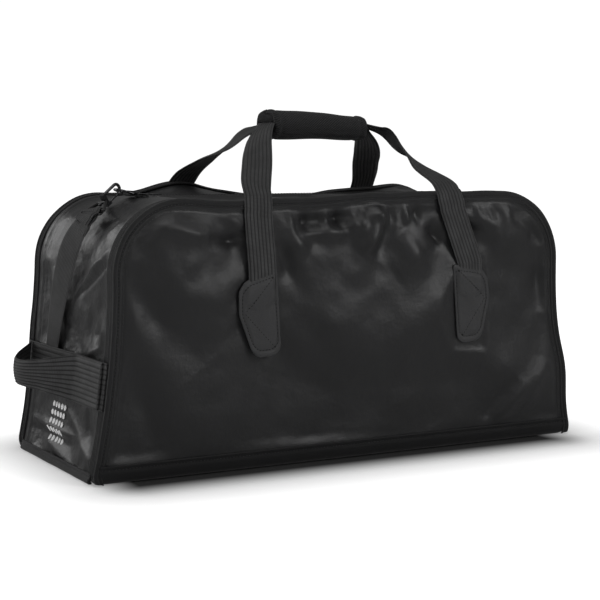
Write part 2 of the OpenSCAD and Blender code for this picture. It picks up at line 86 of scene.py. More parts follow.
def noise(x, y, scale, seed):
    """Smooth value noise from -1 to 1 over a plane, the same each run."""
    table = np.random.RandomState(seed).uniform(-1, 1, (64, 64))
    x, y = np.asarray(x, float) / scale + 17.3, np.asarray(y, float) / scale + 9.1
    i, j = np.floor(x).astype(int), np.floor(y).astype(int)
    u, v = smooth(x - i), smooth(y - j)
    i, j = i % 64, j % 64
    k, m = (i + 1) % 64, (j + 1) % 64
    return (table[i, j] * (1 - u) + table[k, j] * u) * (1 - v) + (table[i, m] * (1 - u) + table[k, m] * u) * v


def fold(x, y, start, end, width, height, sharp=1.6):
    """A ridge of cloth from start to end, height over its line; a negative height is a valley."""
    x0, y0 = start
    dx, dy = end[0] - x0, end[1] - y0
    t = ((x - x0) * dx + (y - y0) * dy) / (dx * dx + dy * dy)
    near = np.clip(t, 0, 1)
    distance = np.hypot(x - x0 - near * dx, y - y0 - near * dy)
    taper = np.sqrt(np.clip(np.sin(math.pi * np.clip(near, 0.02, 0.98)), 0, 1))
    return height * taper * np.exp(-((distance / width) ** sharp))


def bump(x, centre, width, height):
    return height * np.exp(-(((x - centre) / width) ** 2))


def front_edge_lift(x):
    """How far the front top edge stands over its nominal height."""
    return bump(x, -165, 75, -7) + bump(x, -60, 50, -4) + bump(x, 115, 60, 1.5) + 0.8 * noise(x, 0 * x, 35, 3)


def back_edge_lift(x):
    return (bump(x, -118, 42, 12) + bump(x, -215, 40, -3) + bump(x, 45, 75, -12) + bump(x, 236, 36, 5)
            + 0.8 * noise(x, 0 * x, 35, 4))


def edge_lift(x, y, z):
    """The two top edges' waviness, fading down the panels and across the top."""
    front = front_edge_lift(x) * smooth(1 - (y + HALF_DEPTH) / 85)
    back = back_edge_lift(x) * smooth(1 - (HALF_DEPTH - y) / 85)
    return (front + back) * smooth((z - 250) / (HEIGHT - 258))


def outline_inset(x, z):
    """How far a point of the front lies inside the arch's outline."""
    x = np.abs(x)
    corner = CORNER_R - np.hypot(np.maximum(x - ARC_X, 0), np.maximum(z - SPRING_Z, 0))
    straight = np.minimum(side_x(z) - x, HEIGHT - z)
    return np.where((x > ARC_X) & (z > SPRING_Z), corner, straight)


def relax(points):
    """The soft body's bulges: full front and back, a swelling low on the right end and one on the left."""
    x, y, z = points[..., 0], points[..., 1], points[..., 2]
    right = 8 * smooth((x - 180) / 140) * np.exp(-(((z - 95) / 42) ** 2))
    left = -5 * smooth((-x - 180) / 140) * smooth((y + 40) / 120) * np.exp(-(((z - 150) / 75) ** 2))
    full = 5.5 * smooth((outline_inset(x, z) - 8) / 95) * smooth((z - BASE_WRAP) / 60)
    full = full * smooth((np.abs(y) - 112) / 20)
    return np.stack([x + right + left, y + np.sign(y) * full, z], axis=-1)


# ---------- meshes ----------


class Parts:
    """Collects pieces of surface into one mesh; each piece has its own material number."""

    def __init__(self):
        self.points, self.faces, self.uvs, self.materials, self.count = [], [], [], [], 0

    def add(self, points, faces, uv, material=0):
        points = np.asarray(points, float).reshape(-1, 3)
        self.points.append(points)
        self.uvs.append(np.asarray(uv, float).reshape(-1, 2))
        self.faces.extend(tuple(i + self.count for i in face) for face in faces)
        self.materials.extend([material] * len(faces))
        self.count += len(points)

    def build(self, name, materials, body=None, replaces=(), flat=False):
        mesh = bpy.data.meshes.new(name)
        points = relax(np.concatenate(self.points)) * MM
        mesh.from_pydata(points.tolist(), [], self.faces)
        uv = np.concatenate(self.uvs) * MM
        layer = mesh.uv_layers.new(name="UVMap")
        loops = np.zeros(len(mesh.loops), int)
        mesh.loops.foreach_get("vertex_index", loops)
        layer.data.foreach_set("uv", uv[loops].ravel())
        for material in materials:
            mesh.materials.append(material)
        mesh.polygons.foreach_set("material_index", self.materials)
        mesh.polygons.foreach_set("use_smooth", [not flat] * len(mesh.polygons))
        mesh.validate()
        mesh.update()
        piece = bpy.data.objects.new(name, mesh)
        bpy.context.scene.collection.objects.link(piece)
        if body:
            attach(piece, body)
        if replaces:
            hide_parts(*replaces)
        return piece


def lengths(points):
    """Distance along each column of a grid of points."""
    steps = np.linalg.norm(np.diff(points, axis=0), axis=2)
    return np.concatenate([np.zeros((1, points.shape[1])), np.cumsum(steps, axis=0)])


def grid_uv(points):
    along = lengths(points)
    across = lengths(points.transpose(1, 0, 2)).T
    return np.stack([along.mean(axis=1, keepdims=True) + 0 * along, across], axis=2)


def normals_of(points):
    a = np.gradient(points, axis=0)
    b = np.gradient(points, axis=1)
    n = np.cross(a, b)
    return n / np.maximum(np.linalg.norm(n, axis=2, keepdims=True), 1e-9)


def add_slab(parts, outer, inner, material=0, uv=None, keep=None):
    """Closed sheet between two grids of points; keep(i, j) says which cells are there."""
    n, m = outer.shape[:2]
    uv = grid_uv(outer) if uv is None else uv
    size = n * m
    there = np.ones((n - 1, m - 1), bool) if keep is None else keep
    faces = []
    for i in range(n - 1):
        for j in range(m - 1):
            if not there[i, j]:
                continue
            a, b, c, d = i * m + j, (i + 1) * m + j, (i + 1) * m + j + 1, i * m + j + 1
            faces.append((a, b, c, d))
            faces.append((d + size, c + size, b + size, a + size))
            if i == 0 or not there[i - 1, j]:
                faces.append((a, d, d + size, a + size))
            if i == n - 2 or not there[i + 1, j]:
                faces.append((c, b, b + size, c + size))
            if j == 0 or not there[i, j - 1]:
                faces.append((b, a, a + size, b + size))
            if j == m - 2 or not there[i, j + 1]:
                faces.append((d, c, c + size, d + size))
    parts.add(np.concatenate([outer.reshape(-1, 3), inner.reshape(-1, 3)]), faces,
              np.concatenate([uv.reshape(-1, 2), uv.reshape(-1, 2)]), material)


def facing(outer, inner, way):
    """The two grids, turned over if the middle of the outer one doesn't look the way given."""
    middle = normals_of(outer)[outer.shape[0] // 2, outer.shape[1] // 2]
    return (outer, inner) if (middle * np.array(way)).sum() > 0 else (outer[::-1], inner[::-1])


def add_tube(parts, rings, material=0, caps=True):
    """Closed skin over rings of points (rings, points around, 3)."""
    n, m = rings.shape[:2]
    faces = []
    for i in range(n - 1):
        for j in range(m):
            k = (j + 1) % m
            faces.append((i * m + j, (i + 1) * m + j, (i + 1) * m + k, i * m + k))
    if caps:
        faces.append(tuple(range(m)))
        faces.append(tuple(range(n * m - 1, (n - 1) * m - 1, -1)))
    parts.add(rings, faces, grid_uv(rings), material)


def frames_along(path):
    tangent = np.gradient(path, axis=0)
    return tangent / np.maximum(np.linalg.norm(tangent, axis=1, keepdims=True), 1e-9)


def add_cord(parts, path, radius, sides=8, material=0):
    """Round thread or wire along a path."""
    t = frames_along(path)
    helper = np.array([0.0, 0, 1]) if abs(t[:, 2]).mean() < 0.7 else np.array([1.0, 0, 0])
    a = np.cross(t, helper)
    a /= np.linalg.norm(a, axis=1, keepdims=True)
    b = np.cross(t, a)
    angles = np.linspace(0, 2 * math.pi, sides, endpoint=False)
    rings = (path[:, None, :] + radius * (np.cos(angles)[None, :, None] * a[:, None, :]
                                          + np.sin(angles)[None, :, None] * b[:, None, :]))
    add_tube(parts, rings, material)


STITCH_LENGTH = 3.0
STITCH_PITCH = 4.4


def add_stitches(parts, path, normal, material=0, height=0.45, half_width=0.35):
    """A row of sewn stitches lying on a surface along a path; normal points out of the surface."""
    step = np.linalg.norm(np.diff(path, axis=0), axis=1)
    along = np.concatenate([[0], np.cumsum(step)])
    count = max(1, int(along[-1] // STITCH_PITCH))
    normal = np.broadcast_to(np.asarray(normal, float), path.shape)
    for k in range(count):
        at = np.linspace(k * STITCH_PITCH + 0.5, k * STITCH_PITCH + 0.5 + STITCH_LENGTH, 3)
        c = np.stack([np.interp(at, along, path[:, i]) for i in range(3)], axis=1)
        n = np.stack([np.interp(at, along, normal[:, i]) for i in range(3)], axis=1)
        d = c[2] - c[0]
        side = np.cross(d, n[1])
        side = side / max(np.linalg.norm(side), 1e-9) * half_width
        rise = n * np.array([[0.05], [height], [0.05]])
        ring = [c[0] - n[0] * 0.3, c[1] + side - n[1] * 0.2, c[2] - n[2] * 0.3, c[1] - side - n[1] * 0.2]
        top = [c[0] + rise[0], c[1] + side * 0.6 + rise[1], c[2] + rise[2], c[1] - side * 0.6 + rise[1]]
        faces = [(0, 1, 5, 4), (1, 2, 6, 5), (2, 3, 7, 6), (3, 0, 4, 7), (4, 5, 6, 7), (3, 2, 1, 0)]
        parts.add(ring + top, faces, np.zeros((8, 2)), material)


RIB_EDGE = 0.06


def rib_profile(s, count, depth, edge=RIB_EDGE):
    """Height of lengthwise ribs at s from 0 to 1 across a webbing."""
    inner = np.clip((s - edge) / (1 - 2 * edge), 0, 1)
    ribs = depth * np.abs(np.sin(math.pi * count * inner)) ** 0.7
    return ribs * smooth(np.minimum(s, 1 - s) / edge)


def add_webbing(parts, centre, across, width, thick, ribs, depth, material=0, per_rib=4, normal=None):
    """Webbing along the points centre, with unit vectors across; width may change along it."""
    t = frames_along(centre)
    across = across - (across * t).sum(1, keepdims=True) * t
    across /= np.linalg.norm(across, axis=1, keepdims=True)
    normal = np.cross(t, across) if normal is None else normal
    s = np.linspace(0, 1, ribs * per_rib + 1)
    width = np.broadcast_to(np.asarray(width, float), (len(centre),))
    base = centre[:, None, :] + across[:, None, :] * ((s[None, :] - 0.5) * width[:, None])[:, :, None]
    half = thick / 2 * np.sqrt(np.clip(1 - (2 * np.abs(s - 0.5)) ** 12, 0.12, 1))
    lift = (half + rib_profile(s, ribs, depth))[None, :, None]
    along = lengths(centre[:, None, :])
    uv = np.stack([along + 0 * s[None, :], WEBBING_W * s[None, :] + 0 * along], axis=2)
    add_slab(parts, base + normal[:, None, :] * lift, base - normal[:, None, :] * lift, material, uv)


# ---------- cloth simulation ----------

SETTLE_FRAMES = 24
CLOTH_SETTINGS = {"quality": 6, "mass": 0.25, "air_damping": 4, "tension_stiffness": 40,
                  "compression_stiffness": 40, "shear_stiffness": 20, "bending_stiffness": 0.4,
                  "vertex_group_mass": "pinned", "use_pressure": True}


def settle(points, pinned, spare, push, cap):
    """Lets a sheet with spare length settle between its pinned points; gives how far each point moves.
    push is the pressure from inside, and cap the furthest that a point may move."""
    n, m = points.shape[:2]
    corners = [i * m + j for i in range(n - 1) for j in range(m - 1)]
    faces = [(a, a + m, a + m + 1, a + 1) for a in corners]
    mesh = bpy.data.meshes.new("settling")
    mesh.from_pydata((points * MM).reshape(-1, 3).tolist(), [], faces)
    sheet = bpy.data.objects.new("settling", mesh)
    scene = bpy.context.scene
    scene.collection.objects.link(sheet)
    group = sheet.vertex_groups.new(name="pinned")
    group.add([int(i) for i in np.flatnonzero(pinned.ravel())], 1.0, "REPLACE")
    cloth = sheet.modifiers.new("Cloth", "CLOTH").settings
    for setting, value in CLOTH_SETTINGS.items():
        setattr(cloth, setting, value)
    cloth.shrink_min = -spare
    cloth.uniform_pressure_force = push
    for number in range(1, SETTLE_FRAMES + 1):
        scene.frame_set(number)
    settled = sheet.evaluated_get(bpy.context.evaluated_depsgraph_get()).to_mesh()
    where = np.zeros(n * m * 3)
    settled.vertices.foreach_get("co", where)
    scene.frame_set(1)
    bpy.data.objects.remove(sheet)
    moved = where.reshape(n, m, 3) / MM - points
    far = np.linalg.norm(moved, axis=2, keepdims=True)
    return moved * cap * np.tanh(far / cap) / np.maximum(far, 1e-6)


def refine(coarse, rows, columns):
    """A grid of values brought to more rows and columns."""
    for axis, count in ((0, rows), (1, columns)):
        old, new = np.linspace(0, 1, coarse.shape[axis]), np.linspace(0, 1, count)
        coarse = np.apply_along_axis(lambda values: np.interp(new, old, values), axis, coarse)
    return coarse


def soften(grid, passes):
    """Each point brought toward the mean of its neighbours, a few times."""
    for _ in range(passes):
        wide = np.pad(grid, ((1, 1), (1, 1), (0, 0)), mode="edge")
        grid = (4 * grid + 2 * (wide[2:, 1:-1] + wide[:-2, 1:-1] + wide[1:-1, 2:] + wide[1:-1, :-2])
                + wide[2:, 2:] + wide[2:, :-2] + wide[:-2, 2:] + wide[:-2, :-2]) / 16
    return grid


def settle_outward(points, side, pinned, spare, push, cap):
    """How far each point of a sheet moves as it settles; side is 1 where the grid faces out and -1 where it
    faces in. It settles on every second row and column, which leaves out the finest wrinkles."""
    turned, held = (points, pinned) if side > 0 else (points[:, ::-1], pinned[:, ::-1])
    moved = soften(settle(turned[::2, ::2], held[::2, ::2], spare, push, cap), 2)
    moved = soften(refine(moved, *points.shape[:2]), 5)
    return moved if side > 0 else moved[:, ::-1]


# ---------- materials ----------


class Look:
    """A node material: colour, weave and grain are mixed from procedural textures."""

    def __init__(self, name, colour, roughness, specular=0.3, metallic=0.0):
        self.material = bpy.data.materials.new(name)
        self.material.use_nodes = True
        self.tree = self.material.node_tree
        self.shader = self.tree.nodes["Principled BSDF"]
        self.set("Base Color", (*colour, 1))
        self.set("Roughness", roughness)
        self.set("Specular IOR Level", specular)
        self.set("Metallic", metallic)
        self.colour, self.roughness = colour, roughness
        self.coords = self.tree.nodes.new("ShaderNodeTexCoord")
        self.height = None

    def set(self, socket, value):
        self.shader.inputs[socket].default_value = value

    def link(self, source, target):
        self.tree.links.new(source, target)

    def mapped(self, space, scale, turn=0.0, shift=0.0):
        node = self.tree.nodes.new("ShaderNodeMapping")
        node.inputs["Location"].default_value = (0, -shift, 0)
        node.inputs["Scale"].default_value = scale
        node.inputs["Rotation"].default_value = (0, 0, turn)
        self.link(self.coords.outputs[space], node.inputs["Vector"])
        return node.outputs["Vector"]

    def noise(self, scale, detail=3.0, space="Object", stretch=(1, 1, 1)):
        node = self.tree.nodes.new("ShaderNodeTexNoise")
        node.inputs["Scale"].default_value = scale
        node.inputs["Detail"].default_value = detail
        self.link(self.mapped(space, stretch), node.inputs["Vector"])
        return node.outputs["Fac"]

    def waves(self, pitch, axis="X", space="UV", turn=0.0, distortion=0.0, shift=0.0):
        """Bands of a given pitch in metres, darkest at shift."""
        node = self.tree.nodes.new("ShaderNodeTexWave")
        node.bands_direction = axis
        node.inputs["Scale"].default_value = math.pi / (10 * pitch)
        node.inputs["Distortion"].default_value = distortion
        node.inputs["Detail"].default_value = 1.0
        self.link(self.mapped(space, (1, 1, 1), turn, shift), node.inputs["Vector"])
        return node.outputs["Fac"]

    def cells(self, scale, space="Object"):
        node = self.tree.nodes.new("ShaderNodeTexVoronoi")
        node.inputs["Scale"].default_value = scale
        self.link(self.mapped(space, (1, 1, 1)), node.inputs["Vector"])
        return node.outputs["Distance"]

    def math(self, operation, a, b):
        node = self.tree.nodes.new("ShaderNodeMath")
        node.operation = operation
        for socket, value in zip(node.inputs, (a, b)):
            if isinstance(value, float):
                socket.default_value = value
            else:
                self.link(value, socket)
        return node.outputs[0]

    def blended(self, a, share_a, b, share_b):
        return self.math("ADD", self.math("MULTIPLY", a, share_a), self.math("MULTIPLY", b, share_b))

    def ranged(self, value, low, high):
        node = self.tree.nodes.new("ShaderNodeMapRange")
        self.link(value, node.inputs["Value"])
        node.inputs["To Min"].default_value = low
        node.inputs["To Max"].default_value = high
        return node.outputs["Result"]

    def faded(self, value, kind, come_from, go_to):
        """Brings a value from one range to another with a smooth start and finish."""
        result = self.ranged(value, *go_to)
        result.node.interpolation_type = kind
        for socket, limit in zip(("From Min", "From Max"), come_from):
            result.node.inputs[socket].default_value = limit
        return result

    def tint(self, value, light, dark=0.6):
        """Varies the colour between dark and light times itself."""
        node = self.tree.nodes.new("ShaderNodeMix")
        node.data_type = "RGBA"
        node.inputs[6].default_value = (*[c * dark for c in self.colour], 1)
        node.inputs[7].default_value = (*[c * light for c in self.colour], 1)
        self.link(value, node.inputs[0])
        self.link(node.outputs[2], self.shader.inputs["Base Color"])

    def rough(self, value, low, high):
        self.link(self.ranged(value, low, high), self.shader.inputs["Roughness"])

    def relief(self, value, distance):
        """Adds a bump of that height in metres."""
        node = self.tree.nodes.new("ShaderNodeBump")
        node.inputs["Strength"].default_value = 1.0
        node.inputs["Distance"].default_value = distance
        self.link(value, node.inputs["Height"])
        if self.height is not None:
            self.link(self.height, node.inputs["Normal"])
        self.height = node.outputs["Normal"]
        self.link(self.height, self.shader.inputs["Normal"])

    def sheen(self, weight, roughness=0.5):
        self.set("Sheen Weight", weight)
        self.set("Sheen Roughness", roughness)


def woven(name, colour, roughness, pitch, depth, specular=0.3, sheen=0.1, crinkle=0.0, space="UV"):
    look = Look(name, colour, roughness, specular)
    weave = look.math("MULTIPLY", look.waves(pitch, "X", space), look.waves(pitch, "Y", space))
    look.relief(weave, depth)
    if crinkle:
        look.relief(look.noise(70, 6), crinkle)
    look.tint(look.blended(weave, 0.35, look.noise(14, 4), 0.65), 1.45)
    look.rough(look.noise(30, 3), roughness - 0.08, roughness + 0.1)
    look.sheen(sheen)
    return look.material


def coated(name, colour, roughness, specular, reliefs, tint, rough, pitch=0.0, depth=0.0, metallic=0.0):
    """A smooth finish with noise. Each relief is (scale, detail, height), tint is (scale, detail, light,
    dark) and rough is (scale, detail, low, high); a pitch gives it a weave of that depth."""
    look = Look(name, colour, roughness, specular, metallic)
    if pitch:
        look.relief(look.math("MULTIPLY", look.waves(pitch, "X"), look.waves(pitch, "Y")), depth)
    for scale, detail, height in reliefs:
        look.relief(look.noise(scale, detail), height)
    look.tint(look.noise(*tint[:2]), *tint[2:])
    if rough:
        look.rough(look.noise(*rough[:2]), *rough[2:])
    return look


def nylon_look():
    look = coated("coated_nylon", (0.010, 0.010, 0.0105), 0.42, 0.6, [(45, 5, 0.0011), (160, 3, 0.00025)],
                  (9, 4, 1.5, 0.7), (24, 4, 0.32, 0.48), 0.0009, 0.00006)
    look.sheen(0.02)
    return look.material


def end_nylon_look():
    return coated("glossy_nylon", (0.017, 0.017, 0.0175), 0.34, 0.6, [(60, 6, 0.0018)], (12, 4, 1.4, 0.7),
                  (30, 4, 0.27, 0.42), 0.0009, 0.00005).material


def webbing_look(name, colour, pitch, width, ribs, roughness=0.62, edge=RIB_EDGE):
    """Webbing with lengthwise ribs: fine picks across each rib, and painted shade as dark lines in the
    grooves between the ribs.
    """
    look = Look(name, colour, roughness, 0.3)
    picks = look.waves(pitch, "X")
    rib = look.waves((1 - 2 * edge) * width / ribs, "Y", shift=edge * width)
    crown = look.math("MINIMUM", look.math("MULTIPLY", rib, 2.6), 1.0)
    weave = look.math("MULTIPLY", picks, crown)
    look.relief(weave, 0.00022)
    fleck = look.blended(picks, 0.35, look.noise(60, 3), 0.65)
    # Painted shade: the colour darkens in the grooves between the ribs, where crown is low
    look.tint(look.math("MULTIPLY", crown, fleck), 2.3, 0.25)
    look.rough(look.noise(50, 2), roughness - 0.1, roughness + 0.08)
    look.sheen(0.05)
    return look.material


def twill_look(name, colour, pitch, turn):
    look = Look(name, colour, 0.75, 0.2)
    ribs = look.waves(pitch, "X", "UV", turn)
    threads = look.waves(pitch * 0.45, "Y", "UV", turn)
    look.relief(ribs, 0.0005)
    look.relief(threads, 0.00012)
    look.tint(look.math("MULTIPLY", ribs, look.ranged(look.noise(30, 3), 0.6, 1.0)), 2.0, 0.55)
    look.sheen(0.05)
    return look.material


def leather_look():
    look = Look("pebbled_leather", (0.03, 0.03, 0.031), 0.5, 0.4)
    pebbles = look.cells(900)
    look.relief(pebbles, -0.00022)
    look.relief(look.noise(90, 4), 0.0003)
    look.tint(look.blended(pebbles, 0.4, look.noise(25, 4), 0.6), 1.4)
    look.rough(look.noise(60, 4), 0.42, 0.6)
    return look.material


def metal_look():
    look = coated("dark_enamelled_metal", (0.055, 0.055, 0.058), 0.24, 0.5, [(700, 3, 0.00003)],
                  (120, 5, 1.8, 0.5), (200, 4, 0.16, 0.34), metallic=0.85)
    look.set("Coat Weight", 0.3)
    look.set("Coat Roughness", 0.15)
    return look.material


def plastic_look(name, colour, roughness):
    return coated(name, colour, roughness, 0.4, [(900, 2, 0.00004)], (60, 3, 1.3, 0.8),
                  (150, 3, roughness - 0.06, roughness + 0.08)).material


def loop_pile_look():
    look = Look("hook_and_loop", (0.012, 0.012, 0.012), 0.9, 0.1)
    look.relief(look.cells(1400), 0.0006)
    look.tint(look.noise(200, 4), 1.8)
    look.sheen(0.4)
    return look.material


def print_look():
    relief, tint = [(500, 3, 0.00005)], (80, 4, 1.0, 0.85)
    return coated("white_print", (0.8, 0.8, 0.8), 0.6, 0.3, relief, tint, ()).material


NYLON = nylon_look()
END_NYLON = end_nylon_look()
COATED = woven("coated_base_cloth", (0.009, 0.009, 0.0095), 0.6, 0.0014, 0.0001, 0.25, 0.08, 0.0006)
TAPE = woven("binding_cloth", (0.011, 0.011, 0.0115), 0.72, 0.0012, 0.00015, 0.22, 0.15)
ZIP_TAPE = woven("zip_cloth", (0.013, 0.013, 0.0135), 0.7, 0.0009, 0.0001, 0.25, 0.12)
LINING = woven("lining_cloth", (0.05, 0.05, 0.052), 0.7, 0.0008, 0.00005, 0.3, 0.1, 0.0003, "Object")
WEBBING = webbing_look("handle_webbing_weave", (0.027, 0.027, 0.0275), 0.0016, 0.038, 7)
RIBBED = webbing_look("grab_webbing_weave", (0.032, 0.032, 0.0325), 0.0018, 0.056, 9, edge=0.03)
STRAP = webbing_look("strap_webbing_weave", (0.03, 0.03, 0.0305), 0.0013, 0.038, 12)
FOLDED_STRAP = webbing_look("strap_fold_weave", (0.034, 0.034, 0.0345), 0.0016, 0.038, 9)
GRIP = twill_look("grip_twill", (0.016, 0.016, 0.0165), 0.0024, math.radians(52))
LEATHER = leather_look()
METAL = metal_look()
PLASTIC = plastic_look("black_acetal", (0.012, 0.012, 0.012), 0.3)
COIL = plastic_look("nylon_coil", (0.014, 0.014, 0.014), 0.4)
BOARD = plastic_look("board_plastic", (0.2, 0.2, 0.2), 0.6)
PILE = loop_pile_look()
THREAD = woven("sewing_thread", (0.016, 0.016, 0.0165), 0.6, 0.0004, 0.00005, 0.3, 0.2, 0.0, "Object")
DARK_THREAD = woven("patch_thread", (0.004, 0.004, 0.004), 0.7, 0.0004, 0.00005, 0.2, 0.0, 0.0, "Object")
PRINT = print_look()


# ---------- outline of the arch ----------


def arch_path(foot_z, step=5.0):
    """Points and outward normals of the arch's outline, from the right foot over the top to the left foot."""
    rise = np.linspace(foot_z, SPRING_Z, int((SPRING_Z - foot_z) / step))
    slope = 2 * END_FLARE / SPRING_Z * (1 - rise / SPRING_Z)
    side = np.stack([side_x(rise), rise], axis=1)
    side_n = np.stack([np.ones_like(slope), slope], axis=1)
    side_n /= np.linalg.norm(side_n, axis=1, keepdims=True)
    angle = np.radians(np.linspace(0, 90, int(CORNER_R * 1.57 / step)))[1:]
    arc_n = np.stack([np.cos(angle), np.sin(angle)], axis=1)
    arc = np.array([ARC_X, SPRING_Z]) + CORNER_R * arc_n
    flat_x = np.linspace(ARC_X, 0, int(ARC_X / step))[1:]
    flat = np.stack([flat_x, HEIGHT + 0 * flat_x], axis=1)
    flat_n = np.stack([0 * flat_x, 1 + 0 * flat_x], axis=1)
    half, half_n = np.concatenate([side, arc, flat]), np.concatenate([side_n, arc_n, flat_n])
    flip = np.array([-1, 1])
    return (np.concatenate([half, half[-2::-1] * flip]), np.concatenate([half_n, half_n[-2::-1] * flip]))


# ---------- front and back ----------

FOLD_STRENGTH = 2.9
FOLD_WIDTH = 1.5
# Folds of the front: start and end in (x, z), width, height
FRONT_FOLDS = [
    ((-276, 306), (-168, 284), 9, 3.6), ((-205, 289), (-155, 284), 6, -4.5),
    ((-172, 322), (-156, 298), 6, 2.5), ((-250, 268), (-160, 180), 22, 2.0),
    ((-290, 240), (-210, 130), 26, -2.4), ((-116, 300), (-62, 268), 8, 3.6),
    ((-108, 286), (-84, 232), 8, -3.8), ((-92, 282), (-72, 238), 8, 2.6),
    ((-84, 291), (-10, 294), 7, 3.8), ((-12, 294), (44, 316), 8, 3.4), ((-80, 305), (12, 310), 7, -3.0),
    ((38, 298), (8, 262), 9, 4.6), ((58, 300), (30, 255), 9, -3.6), ((70, 286), (100, 250), 16, 3.4),
    ((112, 292), (140, 272), 6, -4.2), ((104, 262), (60, 232), 14, 2.6), ((166, 308), (214, 284), 9, 3.0),
    ((160, 296), (196, 286), 5, -3.4), ((212, 322), (308, 268), 12, -3.6),
    ((196, 312), (286, 282), 16, 3.2), ((292, 262), (300, 170), 14, -2.2), ((272, 82), (222, 26), 9, 2.2),
    ((252, 88), (200, 30), 9, -1.8), ((300, 110), (270, 40), 10, 2.0), ((190, 150), (280, 60), 30, 1.8),
    ((-120, 120), (60, 60), 40, -2.2), ((-40, 200), (90, 120), 34, 2.2),
    ((-300, 150), (-270, 40), 12, -2.0), ((-60, 40), (100, 30), 14, 1.4), ((20, 210), (60, 60), 26, -1.8),
]
# Tucks where the front is gathered into its top seam: x, height
TUCKS = [(-92, 2.0), (-70, -1.8), (-40, 2.2), (-22, -2.4), (-4, 2.2), (16, -2.0), (34, 2.6), (56, -2.2),
         (78, 2.4), (96, -2.0), (190, 1.6), (208, -1.8), (240, 1.4)]


def webbing_x(foot_x, top_x, z):
    """Middle of a handle's sewn webbing: upright over the patch, then leaning towards the top."""
    return foot_x + (top_x - foot_x) * np.clip((z - LEAN_Z) / (PANEL_TOP_Z - LEAN_Z), 0, 1)


def sewn_flat(x, z, relief, feet):
    """Holds the cloth down under the handle webbing and the patches."""
    for foot_x, top_x in feet:
        beside = np.maximum(np.abs(x - webbing_x(foot_x, top_x, z)) - (WEBBING_W / 2 + 2), 0)
        below = np.maximum(132 - z, 0)
        limit = -0.5 + 0.35 * np.hypot(beside, below)
        relief = np.minimum(relief, limit)
    return relief


def under_feet(x, z, feet):
    """Whether the handle webbing or a patch is sewn over a point."""
    sewn = np.zeros(x.shape, bool)
    for foot_x, top_x in feet:
        sewn |= (np.abs(x - webbing_x(foot_x, top_x, z)) < WEBBING_W / 2 + 3) & (z > 128)
    return sewn


# Spare length, pressure and furthest move in millimetres of the settling cloth
PANEL_CLOTH = (0.035, 0.6, 5.0)
END_CLOTH = (0.05, 0.4, 3.0)


def panel_relief(x, z, folds, tucks, feet, seed):
    """Height of a panel's cloth over its flat plane."""
    inset = outline_inset(x, z)
    upper = 0.4 + smooth((z - 130) / 120)
    fine = 1.3 * noise(x, z, 48, seed + 1) + 0.4 * noise(x, z, 22, seed + 2)
    relief = 2.4 * noise(x, z, 95, seed) + upper * fine
    for start, end, width, height in folds:
        relief = relief + fold(x, z, start, end, FOLD_WIDTH * width, height)
    for at, height in tucks:
        relief = relief + fold(x, z, (at, 322), (at + 3, 296), 4.5, height)
    pull = smooth((inset - 9) / 15) * smooth((z - BASE_WRAP) / 14)
    seam = -1.5 * np.exp(-(((inset - 10.4) / 1.5) ** 2)) + 0.7 * np.exp(-(((inset - 7.6) / 1.8) ** 2))
    relief = FOLD_STRENGTH * relief * pull + seam - 0.6
    return sewn_flat(x, z, relief, feet)


def panel_grid(columns=201, rows=91):
    q = np.linspace(-1, 1, columns)
    reach = ARC_X + CORNER_R * math.pi / 2
    along = np.abs(q) * reach
    angle = np.clip((along - ARC_X) / CORNER_R, 0, math.pi / 2)
    nominal = np.where(along < ARC_X, along, ARC_X + CORNER_R * np.sin(angle))
    top = np.where(along < ARC_X, HEIGHT, SPRING_Z + CORNER_R * np.cos(angle))
    z = (BASE_WRAP - 6) + np.linspace(0, 1, rows)[:, None] * (top - BASE_WRAP + 6)[None, :]
    x = np.sign(q)[None, :] * nominal[None, :] * side_x(z) / SIDE_HALF
    return x, z


def build_panel(name, side, folds, tucks, feet, seed, node):
    """side is -1 for the front and 1 for the back."""
    x, z = panel_grid()
    relief = panel_relief(x, z, folds, tucks, feet, seed)
    y = side * (HALF_DEPTH + relief)
    outer = np.stack([x, y, z + edge_lift(x, y, z)], axis=2)
    pinned = (outline_inset(x, z) < 14) | (z < BASE_WRAP + 6) | under_feet(x, z, feet)
    moved = settle_outward(outer, side, pinned, *PANEL_CLOTH)
    firm = (0.12 + 0.88 * smooth((z - 70) / 150))[:, :, None]
    outer = outer + firm * moved * np.array([0.3, 1, 0.3])
    inner = outer - np.array([0, side * FABRIC_T, 0])
    parts = Parts()
    if side < 0:
        outer, inner = outer[:, ::-1], inner[:, ::-1]
    add_slab(parts, outer, inner)
    piece = parts.build(name, [NYLON], "shell", [node])
    return piece


FRONT_FEET = [(-131, -135), (176, 144)]
BACK_FEET = [(-131, -118), (176, 180)]


def back_folds():
    """The back is gathered like the front, with its folds in other places."""
    def moved(point):
        return -point[0] * 0.9 + 12, point[1] - 4

    return [(moved(start), moved(end), width, height * 0.9) for start, end, width, height in FRONT_FOLDS]


build_panel("front_cloth", -1, FRONT_FOLDS, TUCKS, FRONT_FEET, 11, "front_panel")
build_panel("back_cloth", 1, back_folds(), [(-x, h) for x, h in TUCKS], BACK_FEET, 31, "back_panel")


# ---------- ends ----------

END_STRIP = 24
